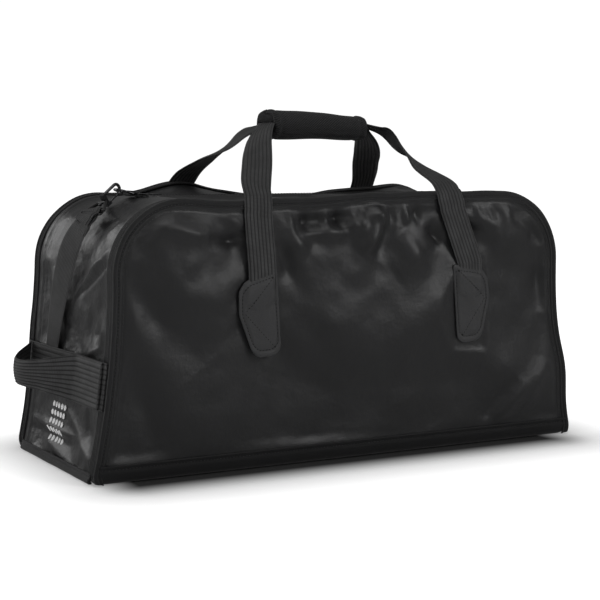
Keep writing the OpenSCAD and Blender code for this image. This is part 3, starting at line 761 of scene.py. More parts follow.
# Creases of the left end: start and end in (y, height along the cloth), width, height, sharpness
LEFT_CREASES = [
    ((-112, 282), (4, 214), 6, 4.6, 1.2), ((-116, 264), (0, 213), 5, -4.4, 1.3),
    ((-104, 250), (-20, 214), 6, 2.6, 1.2), ((20, 300), (58, 262), 7, 3.4, 1.3),
    ((30, 282), (76, 246), 6, -2.8, 1.3), ((44, 240), (80, 222), 5, 3.6, 1.1),
    ((-96, 322), (-70, 286), 10, 3.6, 1.5), ((-60, 330), (-30, 292), 9, -3.0, 1.5),
    ((-20, 340), (30, 310), 9, 3.0, 1.4), ((-96, 196), (-92, 150), 6, 3.0, 1.2),
    ((-92, 158), (-46, 143), 4, 3.8, 1.1), ((-84, 176), (-62, 168), 6, -2.4, 1.2),
    ((-56, 214), (-40, 150), 10, -2.6, 1.6), ((54, 224), (28, 170), 9, 2.6, 1.5),
    ((86, 200), (84, 150), 8, -2.2, 1.5), ((124, 44), (-58, 42), 5, 4.6, 1.3),
    ((120, 34), (-40, 32), 8, -4.0, 1.6), ((-58, 42), (-112, 22), 6, 3.8, 1.2),
    ((-6, 72), (-60, 44), 6, 3.0, 1.2), ((46, 26), (-52, 9), 6, 3.6, 1.2),
    ((-70, 84), (-76, 46), 7, -3.0, 1.4), ((-90, 80), (-104, 56), 6, 2.6, 1.2),
    ((96, 82), (120, 52), 7, -2.4, 1.4), ((70, 30), (96, 10), 8, -2.2, 1.3),
]
RIGHT_CREASES = [
    ((-100, 300), (-30, 240), 8, 3.6, 1.3), ((-108, 270), (-20, 226), 7, -3.2, 1.3),
    ((40, 310), (96, 250), 9, 3.2, 1.3), ((60, 280), (100, 220), 8, -2.8, 1.4),
    ((-20, 340), (20, 300), 9, 2.6, 1.5), ((-90, 210), (-60, 156), 8, 2.8, 1.3),
    ((20, 214), (60, 160), 10, -2.6, 1.6), ((96, 190), (70, 150), 7, 2.4, 1.3),
    ((-60, 80), (-20, 60), 9, -2.0, 1.5), ((30, 84), (96, 62), 7, 2.2, 1.3),
]


def end_place(height):
    """Place and outward normal, in X and Z, of the right end's surface at a height along the cloth."""
    height = np.asarray(height, float)
    angle = np.clip((height - SPRING_Z) / CORNER_R, 0, math.pi / 2)
    past = np.maximum(height - SPRING_Z - CORNER_R * math.pi / 2, 0)
    low = height < SPRING_Z
    x = np.where(low, side_x(np.minimum(height, SPRING_Z)), ARC_X + CORNER_R * np.cos(angle) - past)
    z = np.where(low, height, SPRING_Z + CORNER_R * np.sin(angle))
    slope = 2 * END_FLARE / SPRING_Z * np.maximum(0, 1 - height / SPRING_Z)
    nx = np.where(low, 1 / np.hypot(1, slope), np.cos(angle))
    nz = np.where(low, slope / np.hypot(1, slope), np.sin(angle))
    return x, z, nx, nz


def end_relief(y, h, creases, seed):
    """Height of an end's crumpled cloth over its flat shape."""
    relief = 1.6 * noise(y, h, 60, seed) + 1.3 * noise(y, h, 26, seed + 1)
    relief = relief + 0.5 * noise(y, h, 11, seed + 2) - 2.4
    for start, end, width, height, sharp in creases:
        relief = relief + fold(y, h, start, end, width, height, sharp)
    edge = GUSSET_HALF - np.abs(y)
    relief = relief * smooth((edge - END_STRIP + 4) / 14) * smooth(h / 14)
    seam = -1.6 * np.exp(-(((edge - END_STRIP) / 1.6) ** 2))
    relief = np.minimum(relief + seam, 2.6)
    behind_band = smooth((h - 78) / 6) * smooth((152 - h) / 6)
    return np.minimum(relief, 2.6 - 1.8 * behind_band)


MARK_Y, MARK_Z, MARK_STEP = 20, 51, 10.5


def build_end(name, side, creases, seed, node, slit=None):
    """side is -1 for the left end and 1 for the right; slit is the opening of the pocket, (y, low, high)."""
    top = SPRING_Z + CORNER_R * math.pi / 2 + ARC_X - MOUTH_HALF - 0.3
    h = np.concatenate([[4], np.linspace(7, top, 134)])
    if slit:
        h = np.sort(np.concatenate([h[(h < slit[1] - 1) | (h > slit[2] + 1)], [slit[1], slit[2]]]))
    y = np.linspace(-GUSSET_HALF, GUSSET_HALF, 89)
    hh, yy = np.meshgrid(h, y, indexing="ij")
    x, z, nx, nz = end_place(hh)
    relief = end_relief(yy, hh, creases, seed)
    open_top = (hh > SPRING_Z + CORNER_R * 0.9) & (np.abs(yy) < 24)
    relief = np.where(open_top, np.minimum(relief, -0.2), relief)
    relief = relief - (relief + 1) * smooth((hh - top + 16) / 14)
    outer = np.stack([side * (x + nx * relief), yy, z + nz * relief + edge_lift(side * x, yy, z)], axis=2)
    edge = GUSSET_HALF - np.abs(yy)
    pinned = (edge < END_STRIP + 3) | ((hh > 80) & (hh < 150)) | (hh < 12) | open_top | (hh > top - 8)
    if slit:
        pinned |= (hh > slit[1] - 14) & (hh < slit[2] + 14)
    else:
        pinned |= (np.abs(yy - MARK_Y) < 25) & (hh < 80)
    outer = outer + settle_outward(outer, side, pinned, *END_CLOTH)
    inner = outer - np.stack([side * nx, 0 * nx, nz], axis=2) * FABRIC_T
    keep = np.ones((len(h) - 1, len(y) - 1), bool)
    middle_h, middle_y = (h[1:] + h[:-1]) / 2, (y[1:] + y[:-1]) / 2
    zip_slit = (middle_h[:, None] > SPRING_Z + CORNER_R * 1.42) & (np.abs(middle_y)[None, :] < 10.5)
    keep &= ~zip_slit
    if slit:
        between = (middle_h > slit[1]) & (middle_h < slit[2])
        keep &= ~(between[:, None] & (np.abs(middle_y) < slit[0])[None, :])
    parts = Parts()
    if side < 0:
        outer, inner, keep = outer[:, ::-1], inner[:, ::-1], keep[:, ::-1]
    add_slab(parts, outer, inner, keep=keep)
    piece = parts.build(name, [END_NYLON], "shell", [node])
    return piece


POCKET_LOW, POCKET_HIGH = 26, 42
build_end("left_end_cloth", -1, LEFT_CREASES, 51, "left_end_panel")
build_end("right_end_cloth", 1, RIGHT_CREASES, 71, "right_end_panel", (118, POCKET_LOW, POCKET_HIGH))


def build_edge_tape(name, side):
    """Ribbed tape along the front edge of an end, sewn over the seam beside the binding."""
    h = np.linspace(8, SPRING_Z + CORNER_R * math.pi / 2, 90)
    s = np.linspace(0, 1, 25)
    hh, ss = np.meshgrid(h, s, indexing="ij")
    yy = -GUSSET_HALF + 9 + ss * (END_STRIP - 11)
    lift = 0.5 + rib_profile(ss, 3, 1.1, 0.08) + 0.3 * noise(hh, 0 * hh, 30, 91)
    x, z, nx, nz = end_place(hh)
    lifted = edge_lift(side * x, yy, z)
    outer = np.stack([side * (x + nx * lift), yy, z + nz * lift + lifted], axis=2)
    inner = np.stack([side * (x - nx * 0.6), yy, z - nz * 0.6 + lifted], axis=2)
    if side < 0:
        outer, inner = outer[:, ::-1], inner[:, ::-1]
    parts = Parts()
    add_slab(parts, outer, inner)
    return parts.build(name, [TAPE], "shell")


build_edge_tape("left_edge_tape", -1)
build_edge_tape("right_edge_tape", 1)


# ---------- bindings ----------

# Section of the folded tape: outwards from the outline, and inwards from the panel's outer face
BINDING_SECTION = [
    (-6.6, -0.1), (-6.3, -0.9), (-5.4, -1.2), (-4.2, -1.0), (-3.2, -0.5), (-2.5, -0.7), (-1.4, -1.7),
    (0.2, -2.3), (1.8, -2.1), (3.0, -1.1), (3.4, 0.5), (3.0, 1.9), (1.8, 2.7), (1.0, 3.4), (1.3, 4.4),
    (2.3, 5.4), (2.4, 6.2), (1.7, 7.4), (0.9, 8.2), (1.5, 9.2), (2.2, 10.2), (2.1, 11.2), (1.2, 12.4),
    (0.4, 13.0), (-0.1, 12.4), (-0.2, 1.0), (-6.4, 0.6),
]
CORNER_TUCK = 6


def build_binding(name, side, node):
    """Tape folded over the edge of the front (side -1) or the back (side 1)."""
    path, normal = arch_path(2.0, 4.0)
    section = np.array(BINDING_SECTION)
    wobble = 0.35 * noise(np.arange(len(path)) * 4.0, 0 * path[:, 0], 26, 7 + side)
    out = section[None, :, 0] + wobble[:, None] * smooth(section[:, 0] / 2)[None, :]
    deep = section[None, :, 1] + 0.3 * wobble[:, None]
    x = path[:, None, 0] + normal[:, None, 0] * out
    z = path[:, None, 1] + normal[:, None, 1] * out
    x = x - np.sign(x) * CORNER_TUCK * np.clip(1 - z / 16, 0, 1) ** 2
    y = side * (HALF_DEPTH - deep)
    rings = np.stack([x, y, np.maximum(z, 0.3) + edge_lift(x, y, z)], axis=2)
    if side > 0:
        rings = rings[:, ::-1]
    parts = Parts()
    add_tube(parts, rings)
    for inset, height in ((3.9, 1.0), (10.4, 0.35)):
        px, pz = path[:, 0] - normal[:, 0] * inset, path[:, 1] - normal[:, 1] * inset
        py = side * (HALF_DEPTH + height) + 0 * px
        line = np.stack([px, py, pz + edge_lift(px, py, pz)], axis=1)
        line = line[2:-2]
        add_stitches(parts, line, (0, side, 0), 1)
    return parts.build(name, [TAPE, THREAD], "shell", [node])


build_binding("front_binding_cloth", -1, "front_binding")
build_binding("back_binding_cloth", 1, "back_binding")


# Section of the lower tape: outwards from the end, and height
BASE_BINDING_SECTION = [(0.2, 12), (1.3, 12.2), (1.9, 10.8), (1.4, 8.8), (1.9, 7.0), (2.9, 5.2), (3.3, 3.2),
                        (2.7, 1.4), (1.4, 0.5), (-2.0, 0.4), (-2.0, 2.5), (-0.4, 3.0)]


def build_base_binding(name, side, node):
    """Tape over the seam between an end and the base."""
    y = np.linspace(-HALF_DEPTH + BINDING_W + 0.4, HALF_DEPTH - BINDING_W - 0.4, 60)
    out, z = np.array(BASE_BINDING_SECTION).T
    wave = 0.4 * noise(y, 0 * y, 24, 5)
    x = side_x(z)[None, :] + out[None, :] + wave[:, None] * (out > 1)[None, :]
    rings = np.stack([side * x, y[:, None] + 0 * x, z[None, :] + 0 * x], axis=2)
    if side > 0:
        rings = rings[:, ::-1]
    parts = Parts()
    add_tube(parts, rings)
    line = np.stack([side * (side_x(9.8) + 1.6 + 0 * y), y, 9.8 + 0 * y], axis=1)
    add_stitches(parts, line, (side, 0, 0.2), 1)
    return parts.build(name, [TAPE, THREAD], "shell", [node])


build_base_binding("left_base_binding_cloth", -1, "left_base_binding")
build_base_binding("right_base_binding_cloth", 1, "right_base_binding")


# ---------- base ----------


def build_base():
    """Base cloth, turned up the front and the back, with rounded lower edges."""
    radius, lip = 9, 0.9
    turn = np.radians(np.linspace(0, 90, 8))
    half = HALF_DEPTH + lip - 0.4
    side = [(half - 1.2, BASE_WRAP + 0.6), (half + 0.5, BASE_WRAP + 0.9), (half + 1.5, BASE_WRAP + 0.1),
            (half + 1.4, BASE_WRAP - 1.3), (half + 0.3, BASE_WRAP - 2.4)]
    rising = np.linspace(BASE_WRAP - 4, radius, 7)
    side += [(half + 0.7 * math.sin(math.pi * k / 6), z) for k, z in enumerate(rising)]
    side += [(half - radius + radius * math.cos(a), radius - radius * math.sin(a)) for a in turn[1:]]
    inner_y = np.linspace(half - radius, 0, 14)[1:]
    side += [(y, 0.0) for y in inner_y]
    profile = np.array([(-y, z) for y, z in side] + [(y, z) for y, z in side[-2::-1]])
    u = np.linspace(-1, 1, 150)
    ends = np.clip((np.abs(u) * BASE_HALF - BASE_HALF + 14) / 14, 0, 1)
    lift = 5.0 * ends**2
    x = u[:, None] * (side_x(profile[:, 1])[None, :] - 0.4)
    z = profile[None, :, 1] + lift[:, None] * smooth(1 - profile[:, 1] / 12)[None, :]
    crumple = 0.5 * noise(x, z + profile[None, :, 0], 40, 21) * smooth((profile[:, 1] - 2) / 8)[None, :]
    y = profile[None, :, 0] + np.sign(profile[None, :, 0]) * crumple
    outer = np.stack([x, y, np.maximum(z, 0)], axis=2)
    n = normals_of(outer)
    inner = outer - n * np.sign(n[75, 20, 2]) * -1.6
    if n[75, 20, 2] > 0:
        outer, inner = outer[::-1], inner[::-1]
    parts = Parts()
    add_slab(parts, outer, inner)
    line_x = np.linspace(-BASE_HALF + 12, BASE_HALF - 12, 120)
    for s in (-1, 1):
        line = np.stack([line_x, s * (half + 0.5) + 0 * line_x, BASE_WRAP - 4.5 + 0 * line_x], axis=1)
        add_stitches(parts, line, (0, s, 0), 1)
    piece = parts.build("base_cloth", [COATED, THREAD], "shell", ["base_panel"])


build_base()


# ---------- mouth, zip tapes and coils ----------

ZIP_Z = 329.7
ZIP_EDGE = 12.5
HEM_LINE = 4.2
TAPE_W, TAPE_RIBS = 16.4, 9
ZIP_END_X, STOP_X = 243.0, 241.2
# The metal stop: places along it and half widths
STOP_ROWS = [(-1.6, 2.4), (-0.8, 3.3), (0.8, 3.3), (1.6, 2.4)]
# Where the flaps' folds start along X
FLAP_FOLDS = (-150, -95, -40, 30, 90, 165)


def build_flap(name, side, node):
    """Cloth between a panel's top seam and the zip, hemmed along the zip."""
    x = np.linspace(-MOUTH_HALF, MOUTH_HALF, 130)
    hem_rows = [ZIP_EDGE + 1.5, ZIP_EDGE + 0.3, ZIP_EDGE]
    d = np.concatenate([np.linspace(GUSSET_HALF + 0.6, ZIP_EDGE + 4, 36), hem_rows])
    xx, dd = np.meshgrid(x, d, indexing="ij")
    yy = side * dd
    inner_part = smooth((GUSSET_HALF - dd) / 30) * smooth((dd - ZIP_EDGE) / 20)
    inner_part = inner_part * smooth((MOUTH_HALF - np.abs(xx)) / 22)
    sag = -4.5 * inner_part * (1 + 0.5 * noise(xx, yy, 80, 41 + side))
    waves = 2.6 * noise(xx, yy * 2.0, 46, 43 + side) + 1.2 * noise(xx, yy, 22, 45 + side)
    for k, centre in enumerate(FLAP_FOLDS):
        height = 3.0 if k % 2 else -3.4
        sag = sag + inner_part * fold(xx, dd, (centre, 118), (centre + 34, 34), 13, height)
    hem = -1.4 * smooth((ZIP_EDGE + 1.6 - dd) / 1.6) + 0.9 * np.exp(-(((dd - ZIP_EDGE - 3) / 2.5) ** 2))
    z = HEIGHT - 1.0 + sag + waves * inner_part + hem + edge_lift(xx, yy, HEIGHT + 0 * xx)
    outer = np.stack([xx, yy, z], axis=2)
    inner = outer - np.array([0, 0, FABRIC_T])
    if side > 0:
        outer, inner = outer[:, ::-1], inner[:, ::-1]
    parts = Parts()
    add_slab(parts, *facing(outer, inner, (0, 0, 1)))
    line_y, line_z = 0 * x + side * (ZIP_EDGE + HEM_LINE), 0 * x + HEIGHT
    line = np.stack([x, line_y, line_z - 0.2 + edge_lift(x, line_y, line_z)], axis=1)
    add_stitches(parts, line[1:-1], (0, 0, 1), 1)
    piece = parts.build(name, [NYLON, THREAD], None, [node])
    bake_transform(piece)
    return piece


def tape_ribs(s):
    """Height of the zip tape's fine ribs at s from 0 to 1 across it."""
    return 0.18 * np.abs(np.sin(s * math.pi * TAPE_RIBS)) ** 0.6


def build_zip_tape(name, side, body, x0, x1, node):
    x = np.linspace(x0, x1, max(4, int((x1 - x0) / 6)))
    s = np.linspace(0, 1, 29)
    xx, ss = np.meshgrid(x, s, indexing="ij")
    yy = side * (3.4 + ss * TAPE_W)
    outer = np.stack([xx, yy, ZIP_Z + 0.45 + tape_ribs(ss)], axis=2)
    inner = np.stack([xx, yy, ZIP_Z - 0.5 + 0 * xx], axis=2)
    parts = Parts()
    add_slab(parts, *facing(outer, inner, (0, 0, 1)))
    return parts.build(name, [ZIP_TAPE], body, [node])


COIL_PITCH = 2.0


def add_coil(parts, start, end, across, up, side, material=0):
    """Half of a coil zip between two points: a flattened helix beside the middle line."""
    start, end = np.array(start, float), np.array(end, float)
    length = np.linalg.norm(end - start)
    turns = max(2, int(length / COIL_PITCH))
    along = (end - start) / length
    a = np.linspace(0, 2 * math.pi * turns, turns * 9)
    centre = start[None, :] + along[None, :] * (a / (2 * math.pi) * COIL_PITCH)[:, None]
    path = centre + side * np.array(across) * (2.0 + np.cos(a))[:, None]
    path = path + np.array(up) * (0.95 * np.sin(a))[:, None]
    add_cord(parts, path, 0.42, 5, material)


def build_coil(name, side, body, x0, x1, nodes):
    parts = Parts()
    add_coil(parts, (x0, 0, ZIP_Z), (x1, 0, ZIP_Z), (0, 1, 0), (0, 0, 1), side)
    return parts.build(name, [COIL], body, nodes)


for end, sign in (("front", -1), ("back", 1)):
    flap, half_coil = f"mouth_flap_{end}", MOUTH_HALF - 0.6
    build_flap(f"{end}_mouth_cloth", sign, f"top_gusset_{end}")
    build_zip_tape(f"{end}_zip_tape_cloth", sign, flap, -MOUTH_HALF, MOUTH_HALF, f"zip_tape_{end}")
    build_coil(f"{end}_zip_coil", sign, flap, -half_coil, half_coil, [f"zip_chain_{end}"])


def build_zip_end(name, side, node):
    """The stretch of the zip that stays closed beyond the mouth, with its stop."""
    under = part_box(node)[0].z / MM
    x0, x1 = sorted((side * (MOUTH_HALF + 0.6), side * ZIP_END_X))
    parts = Parts()
    for s in (-1, 1):
        add_coil(parts, (x0, 0, ZIP_Z), (x1 - 1, 0, ZIP_Z), (0, 1, 0), (0, 0, 1), s, 1)
        xx, ss = np.meshgrid(np.linspace(x0, x1, 8), np.linspace(0, 1, 25), indexing="ij")
        yy = s * (3.2 + ss * TAPE_W)
        outer = np.stack([xx, yy, under + 1.1 + tape_ribs(ss)], axis=2)
        inner = np.stack([xx, yy, under + 0.2 + 0 * xx], axis=2)
        add_slab(parts, *facing(outer, inner, (0, 0, 1)))
    angles = np.linspace(0, 2 * math.pi, 14, endpoint=False)
    rings = [np.stack([side * STOP_X + dx + 0 * angles, r * np.cos(angles),
                       ZIP_Z + r / 2.2 * np.sin(angles)], axis=1)
             for dx, r in STOP_ROWS]
    add_tube(parts, np.array(rings), 2)
    return parts.build(name, [ZIP_TAPE, COIL, METAL], "shell", [node])


build_zip_end("left_zip_end", -1, "zip_end_left")
build_zip_end("right_zip_end", 1, "zip_end_right")


# ---------- handles ----------

GRIP_X = 20
GRIP_Z = 425
GRIP_HALF = 72.5
PATCH_FOOT_Z = 205
HANDLE_RIBS = 7


def bezier(points, t):
    a, b, c, d = (np.array(p, float) for p in points)
    t = t[:, None]
    return (1 - t) ** 3 * a + 3 * (1 - t) ** 2 * t * b + 3 * (1 - t) * t * t * c + t**3 * d


def spline(points, count):
    """Smooth line through points, with points evenly along it."""
    p = np.array(points, float)
    p = np.concatenate([2 * p[:1] - p[1:2], p, 2 * p[-1:] - p[-2:-1]])
    t = np.linspace(0, 1, 24, endpoint=False)[:, None]
    parts = [b + ((c - a) * t + (2 * a - 5 * b + 4 * c - d) * t * t + (3 * b - a - 3 * c + d) * t**3) / 2
             for a, b, c, d in zip(p, p[1:], p[2:], p[3:])]
    line = np.concatenate(parts + [p[-2:-1]])
    along = lengths(line[:, None, :])[:, 0]
    at = np.linspace(0, along[-1], count)
    return np.stack([np.interp(at, along, line[:, k]) for k in range(3)], axis=1)


def handle_path(foot_x, top_x, end, side, layer, middle):
    """Middle line and width directions of a leg, from its patch up the panel and on into the grip.
    side is -1 in front and 1 behind; end is -1 at the grip's left end and 1 at its right."""
    z = np.linspace(PATCH_FOOT_Z, PANEL_TOP_Z, 34)
    x = webbing_x(foot_x, top_x, z)
    over_seam = 1.6 * smooth((z - 314) / 8)
    sewn = np.stack([x, side * (WEBBING_Y + over_seam), z], axis=1)
    finish = np.array([GRIP_X + end * (GRIP_HALF - 2), 0, GRIP_Z + layer])
    free = spline([sewn[-1], *middle, finish], 50)[1:]
    inside = finish + np.array([[-end * s, 0, 0] for s in (5, 10, 16)])
    first, last = np.array([1.0, 0, 0]), np.array([0, -side * end, 0.0])
    ease = smooth(np.linspace(0, 1, len(free)) * 1.1)[:, None]
    turning = (1 - ease) * first + ease * last
    width = np.concatenate([np.tile(first, (len(sewn), 1)), turning, np.tile(last, (3, 1))])
    return np.concatenate([sewn, free, inside]), width


def build_handle(name, foot_x, top_x, end, side, layer, middle, nodes):
    path, width = handle_path(foot_x, top_x, end, side, layer, middle)
    along = lengths(path[:, None, :])[:, 0]
    near_grip = smooth((along - along[-1] + 44) / 24)
    wide = WEBBING_W * (1 - 0.12 * near_grip)
    parts = Parts()
    add_webbing(parts, path, width, wide, WEBBING_T - 0.6, HANDLE_RIBS, 1.0)
    piece = parts.build(name, [WEBBING], None, nodes)
    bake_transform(piece)
    return piece


# Foot and top along X, grip end, side, layer, and points (x, y, z) of each leg's middle line
HANDLES = {
    "front_left": (-131, -135, -1, -1, 1.15,
                   [(-132, -128, 350), (-112, -92, 373), (-90, -52, 398), (-69, -20, 414)]),
    "front_right": (176, 144, 1, -1, 1.15,
                    [(142, -126, 350), (143, -76, 368), (134, -45, 391), (122, -14, 415)]),
    "back_left": (-131, -118, -1, 1, -1.15,
                  [(-106, 122, 361), (-97, 92, 377), (-86, 60, 392), (-72, 24, 412)]),
    "back_right": (176, 180, 1, 1, -1.15,
                   [(176, 124, 354), (158, 92, 373), (142, 62, 387), (118, 24, 405)]),
}
for leg, places in HANDLES.items():
    build_handle(f"{leg}_handle", *places, [f"{leg}_anchor", f"{leg}_leg"])


def build_grip_webbing():
    """The two webbings where they pass through the padded grip."""
    parts = Parts()
    x = np.linspace(GRIP_X - GRIP_HALF + 8, GRIP_X + GRIP_HALF - 8, 30)
    for layer in (1.15, -1.15):
        path = np.stack([x, 0 * x, GRIP_Z + layer + 0 * x], axis=1)
        add_webbing(parts, path, np.tile([0.0, 1, 0], (len(x), 1)), 36, 1.4, HANDLE_RIBS, 0.3)
    nodes = ["front_grip_webbing", "back_grip_webbing"]
    parts.build("grip_webbing", [WEBBING], "grip", nodes)


build_grip_webbing()


def rounded_section(half_y, half_z, radius, count):
    """Points (y, z) and outward normals round a rounded rectangle, from the bottom round the front."""
    angles = np.linspace(-math.pi / 2, -math.pi / 2 - 2 * math.pi, count, endpoint=False)
    cy, cz = np.cos(angles), np.sin(angles)
    y = np.sign(cy) * (half_y - radius) * np.minimum(1, np.abs(cy) * 1.6) + radius * cy
    z = np.sign(cz) * (half_z - radius) * np.minimum(1, np.abs(cz) * 1.6) + radius * cz
    return y, z, cy, cz


GRIP_HALF_Y = 20.7
GRIP_HALF_Z = 12.7
GRIP_CORNER = 11.5
FLAP_DROP = 9


def grip_droop(x):
    """The padding hangs a little lower towards its right end."""
    t = (x - GRIP_X + GRIP_HALF) / (2 * GRIP_HALF)
    return -4.0 * smooth(t) - 0.8 * np.sin(t * 9)


def grip_fullness(x):
    """The padding is fuller towards its left end."""
    t = (x - GRIP_X + GRIP_HALF) / (2 * GRIP_HALF)
    return 3.0 * (1 - smooth(t))


def build_grip():
    """Padded wrap round the webbing, open at both ends, with rolled ends."""
    count = 64
    y0, z0, ny, nz = rounded_section(GRIP_HALF_Y, GRIP_HALF_Z, GRIP_CORNER, count)
    under_flap = smooth((4 - y0) / 5) * smooth((z0 + FLAP_DROP + 0.5) / 2.5)
    full = 3.4 * (1 - under_flap) + 0.9 * under_flap
    t = np.concatenate([[0, 0.004, 0.012, 0.024], np.linspace(0.04, 0.96, 60), [0.976, 0.988, 0.996, 1]])
    x = GRIP_X - GRIP_HALF + 2 * GRIP_HALF * t
    end = np.minimum(t, 1 - t) * 2 * GRIP_HALF
    swell = np.where(end < 6, -3.2 * (1 - np.sqrt(np.clip(1 - (1 - end / 6) ** 2, 0, 1))), 0)
    roll = 0.9 * np.exp(-(((end - 5.5) / 2.6) ** 2)) - 0.9 * np.exp(-(((end - 11) / 2.2) ** 2))
    xx, around = np.meshgrid(x, np.arange(count) * 2.2, indexing="ij")
    soft = 0.8 * noise(xx, around, 30, 61)
    out = full[None, :] + swell[:, None] + roll[:, None] * (1 - 0.7 * under_flap[None, :]) + soft * 0.6
    out = out + grip_fullness(x)[:, None] * (1 - under_flap[None, :])
    y = y0[None, :] + ny[None, :] * out
    z = GRIP_Z + z0[None, :] + nz[None, :] * out
    outer = np.stack([x[:, None] + 0 * y, y, z], axis=2)
    outer[:, :, 2] += grip_droop(outer[:, :, 0])
    inner_y, inner_z = np.clip(y0, -19.6, 19.6), np.clip(z0, -3.0, 3.0)
    inner = np.stack([x[:, None] + 0 * y, inner_y[None, :] + 0 * y,
                      GRIP_Z + inner_z[None, :] + 0 * y + grip_droop(x)[:, None] * 0.25], axis=2)
    rings = np.concatenate([outer, inner[::-1], outer[:1]])
    parts = Parts()
    add_tube(parts, rings[:, ::-1], caps=False)
    piece = parts.build("grip_pad", [GRIP], "grip", ["grip_wrap"])
    return piece


def build_grip_flap():
    """Flap of the grip: over the top and down the front, closed by the fastener under it."""
    around = 96
    y0, z0, ny, nz = rounded_section(GRIP_HALF_Y, GRIP_HALF_Z, GRIP_CORNER, around)
    front = [k for k in range(around) if y0[k] < 1.5 and z0[k] > -FLAP_DROP]
    y0, z0, ny, nz = (a[front] for a in (y0, z0, ny, nz))
    order = np.argsort(np.arctan2(z0 + 4, -y0))
    y0, z0, ny, nz = (a[order] for a in (y0, z0, ny, nz))
    s = np.linspace(0, 1, len(y0))
    t = np.linspace(0, 1, 70)
    x = GRIP_X + (GRIP_HALF - 1.2) * (2 * t - 1)
    end = np.minimum(t, 1 - t) * 2 * GRIP_HALF
    round_end = np.where(end < 6, -2.6 * (1 - np.sqrt(np.clip(1 - (1 - end / 6) ** 2, 0, 1))), 0)
    edge = -1.7 * (1 - np.sqrt(np.clip(1 - (1 - np.clip(s / 0.07, 0, 1)) ** 2, 0, 1)))
    seam = -0.7 * np.exp(-(((s - 0.16) / 0.02) ** 2))
    roll = 0.8 * np.exp(-(((end - 5.5) / 2.6) ** 2)) - 0.9 * np.exp(-(((end - 11) / 2.2) ** 2))
    soft = 0.5 * noise(x[:, None] + 0 * s[None, :], 40 * s[None, :] + 0 * x[:, None], 26, 63)
    out = 3.9 + round_end[:, None] + (edge + seam)[None, :] + roll[:, None] + soft + grip_fullness(x)[:, None]
    inner_out = np.minimum(1.35, out - 0.5)
    def shell(distance):
        points = np.stack([x[:, None] + 0 * distance, y0[None, :] + ny[None, :] * distance,
                           GRIP_Z + z0[None, :] + nz[None, :] * distance], axis=2)
        points[:, :, 2] += grip_droop(points[:, :, 0])
        return points
    parts = Parts()
    add_slab(parts, *facing(shell(out), shell(inner_out), (0, -1, 0.6)))
    return parts.build("grip_flap_cloth", [GRIP], "grip_cover", ["grip_flap"])


build_grip()
build_grip_flap()


# ---------- leather patches ----------

PATCH_OUTLINE = [(-27, 52), (18, 45), (28, 34), (32, 6), (21, -42), (13, -51), (-9, -53), (-19, -46)]
PATCH_Z = 191
# Rings of a patch from its edge inwards: inset and lift, with the groove of the seam 4 mm in
PATCH_RINGS = [(0, -1.5), (0, -0.3), (0.5, 0.15), (1.4, 0.35), (3.0, 0.35), (4.0, -0.7), (5.0, 0.35),
               (8, 0.4), (13, 0.4), (20, 0.4)]


def rounded_outline(points, radius, steps=5):
    """Replaces each corner of a closed outline by a short curve."""
    result = []
    n = len(points)
    for k in range(n):
        before, at, after = (np.array(points[(k + d) % n], float) for d in (-1, 0, 1))
        a, b = before - at, after - at
        reach = min(radius, np.linalg.norm(a) / 2.2, np.linalg.norm(b) / 2.2)
        p, q = at + a / np.linalg.norm(a) * reach, at + b / np.linalg.norm(b) * reach
        for t in np.linspace(0, 1, steps):
            result.append((1 - t) ** 2 * p + 2 * (1 - t) * t * at + t * t * q)
    return np.array(result)


def dense(points, step=2.0, closed=True):
    """Evenly spaced points along a line."""
    loop = np.concatenate([points, points[:1]]) if closed else np.asarray(points, float)
    gaps = np.linalg.norm(np.diff(loop, axis=0), axis=1)
    along = np.concatenate([[0], np.cumsum(gaps)])
    at = np.linspace(0, along[-1], max(3, int(along[-1] / step)), endpoint=not closed)
    return np.stack([np.interp(at, along, loop[:, k]) for k in range(loop.shape[1])], axis=1)


def build_patch(name, foot_x, end, lean, side, node):
    """Leather patch over the foot of a handle; end is -1 left of the middle and 1 right, side -1 in front."""
    outline = dense(rounded_outline(PATCH_OUTLINE, 5), 2.0)
    centre = outline.mean(axis=0)
    turn = math.radians(lean)

    def place(points, height):
        u = points[:, 0] * end
        x = foot_x + u * math.cos(turn) + points[:, 1] * math.sin(turn)
        z = PATCH_Z - u * math.sin(turn) + points[:, 1] * math.cos(turn)
        return np.stack([x, side * (HALF_DEPTH + height), z], axis=1)

    def height(points, inset):
        webbing = smooth((WEBBING_W / 2 + 3 - np.abs(points[:, 0])) / 5) * smooth((points[:, 1] - 10) / 6)
        grain = 0.35 * noise(points[:, 0], points[:, 1], 22, 81)
        return 1.5 + 2.7 * webbing * smooth(inset / 6) + grain * smooth(inset / 5)

    rings = []
    for inset, drop in PATCH_RINGS:
        ring = centre + (outline - centre) * (1 - inset / 26)
        rings.append(place(ring, height(ring, inset) + drop))
    rings = np.array(rings)
    if (side * end) > 0:
        rings = rings[:, ::-1]
    parts = Parts()
    add_tube(parts, rings)
    inset_line = centre + (dense(outline, 1.5) - centre) * (1 - 4.0 / 26)
    closed = np.concatenate([inset_line, inset_line[:1]])
    add_stitches(parts, place(closed, height(closed, 4.0) - 0.4), (0, side, 0), 1, 0.5, 0.55)
    corner_top, middle, corner_low = np.array([-20.0, 44]), np.array([24.0, 6]), np.array([-12.0, -44])
    for a, b in ((corner_top, middle), (middle, corner_low)):
        line = dense(np.array([a, b]), 2.0, closed=False)
        add_stitches(parts, place(line, height(line, 8) + 0.3), (0, side, 0), 1, 0.45, 0.6)
    return parts.build(name, [LEATHER, DARK_THREAD], "shell", [node])


build_patch("front_left_leather", -131, -1, -8, -1, "front_left_patch")
build_patch("front_right_leather", 176, 1, 0, -1, "front_right_patch")
build_patch("back_left_leather", -131, -1, 0, 1, "back_left_patch")
build_patch("back_right_leather", 176, 1, 0, 1, "back_right_patch")


# ---------- grab handles ----------

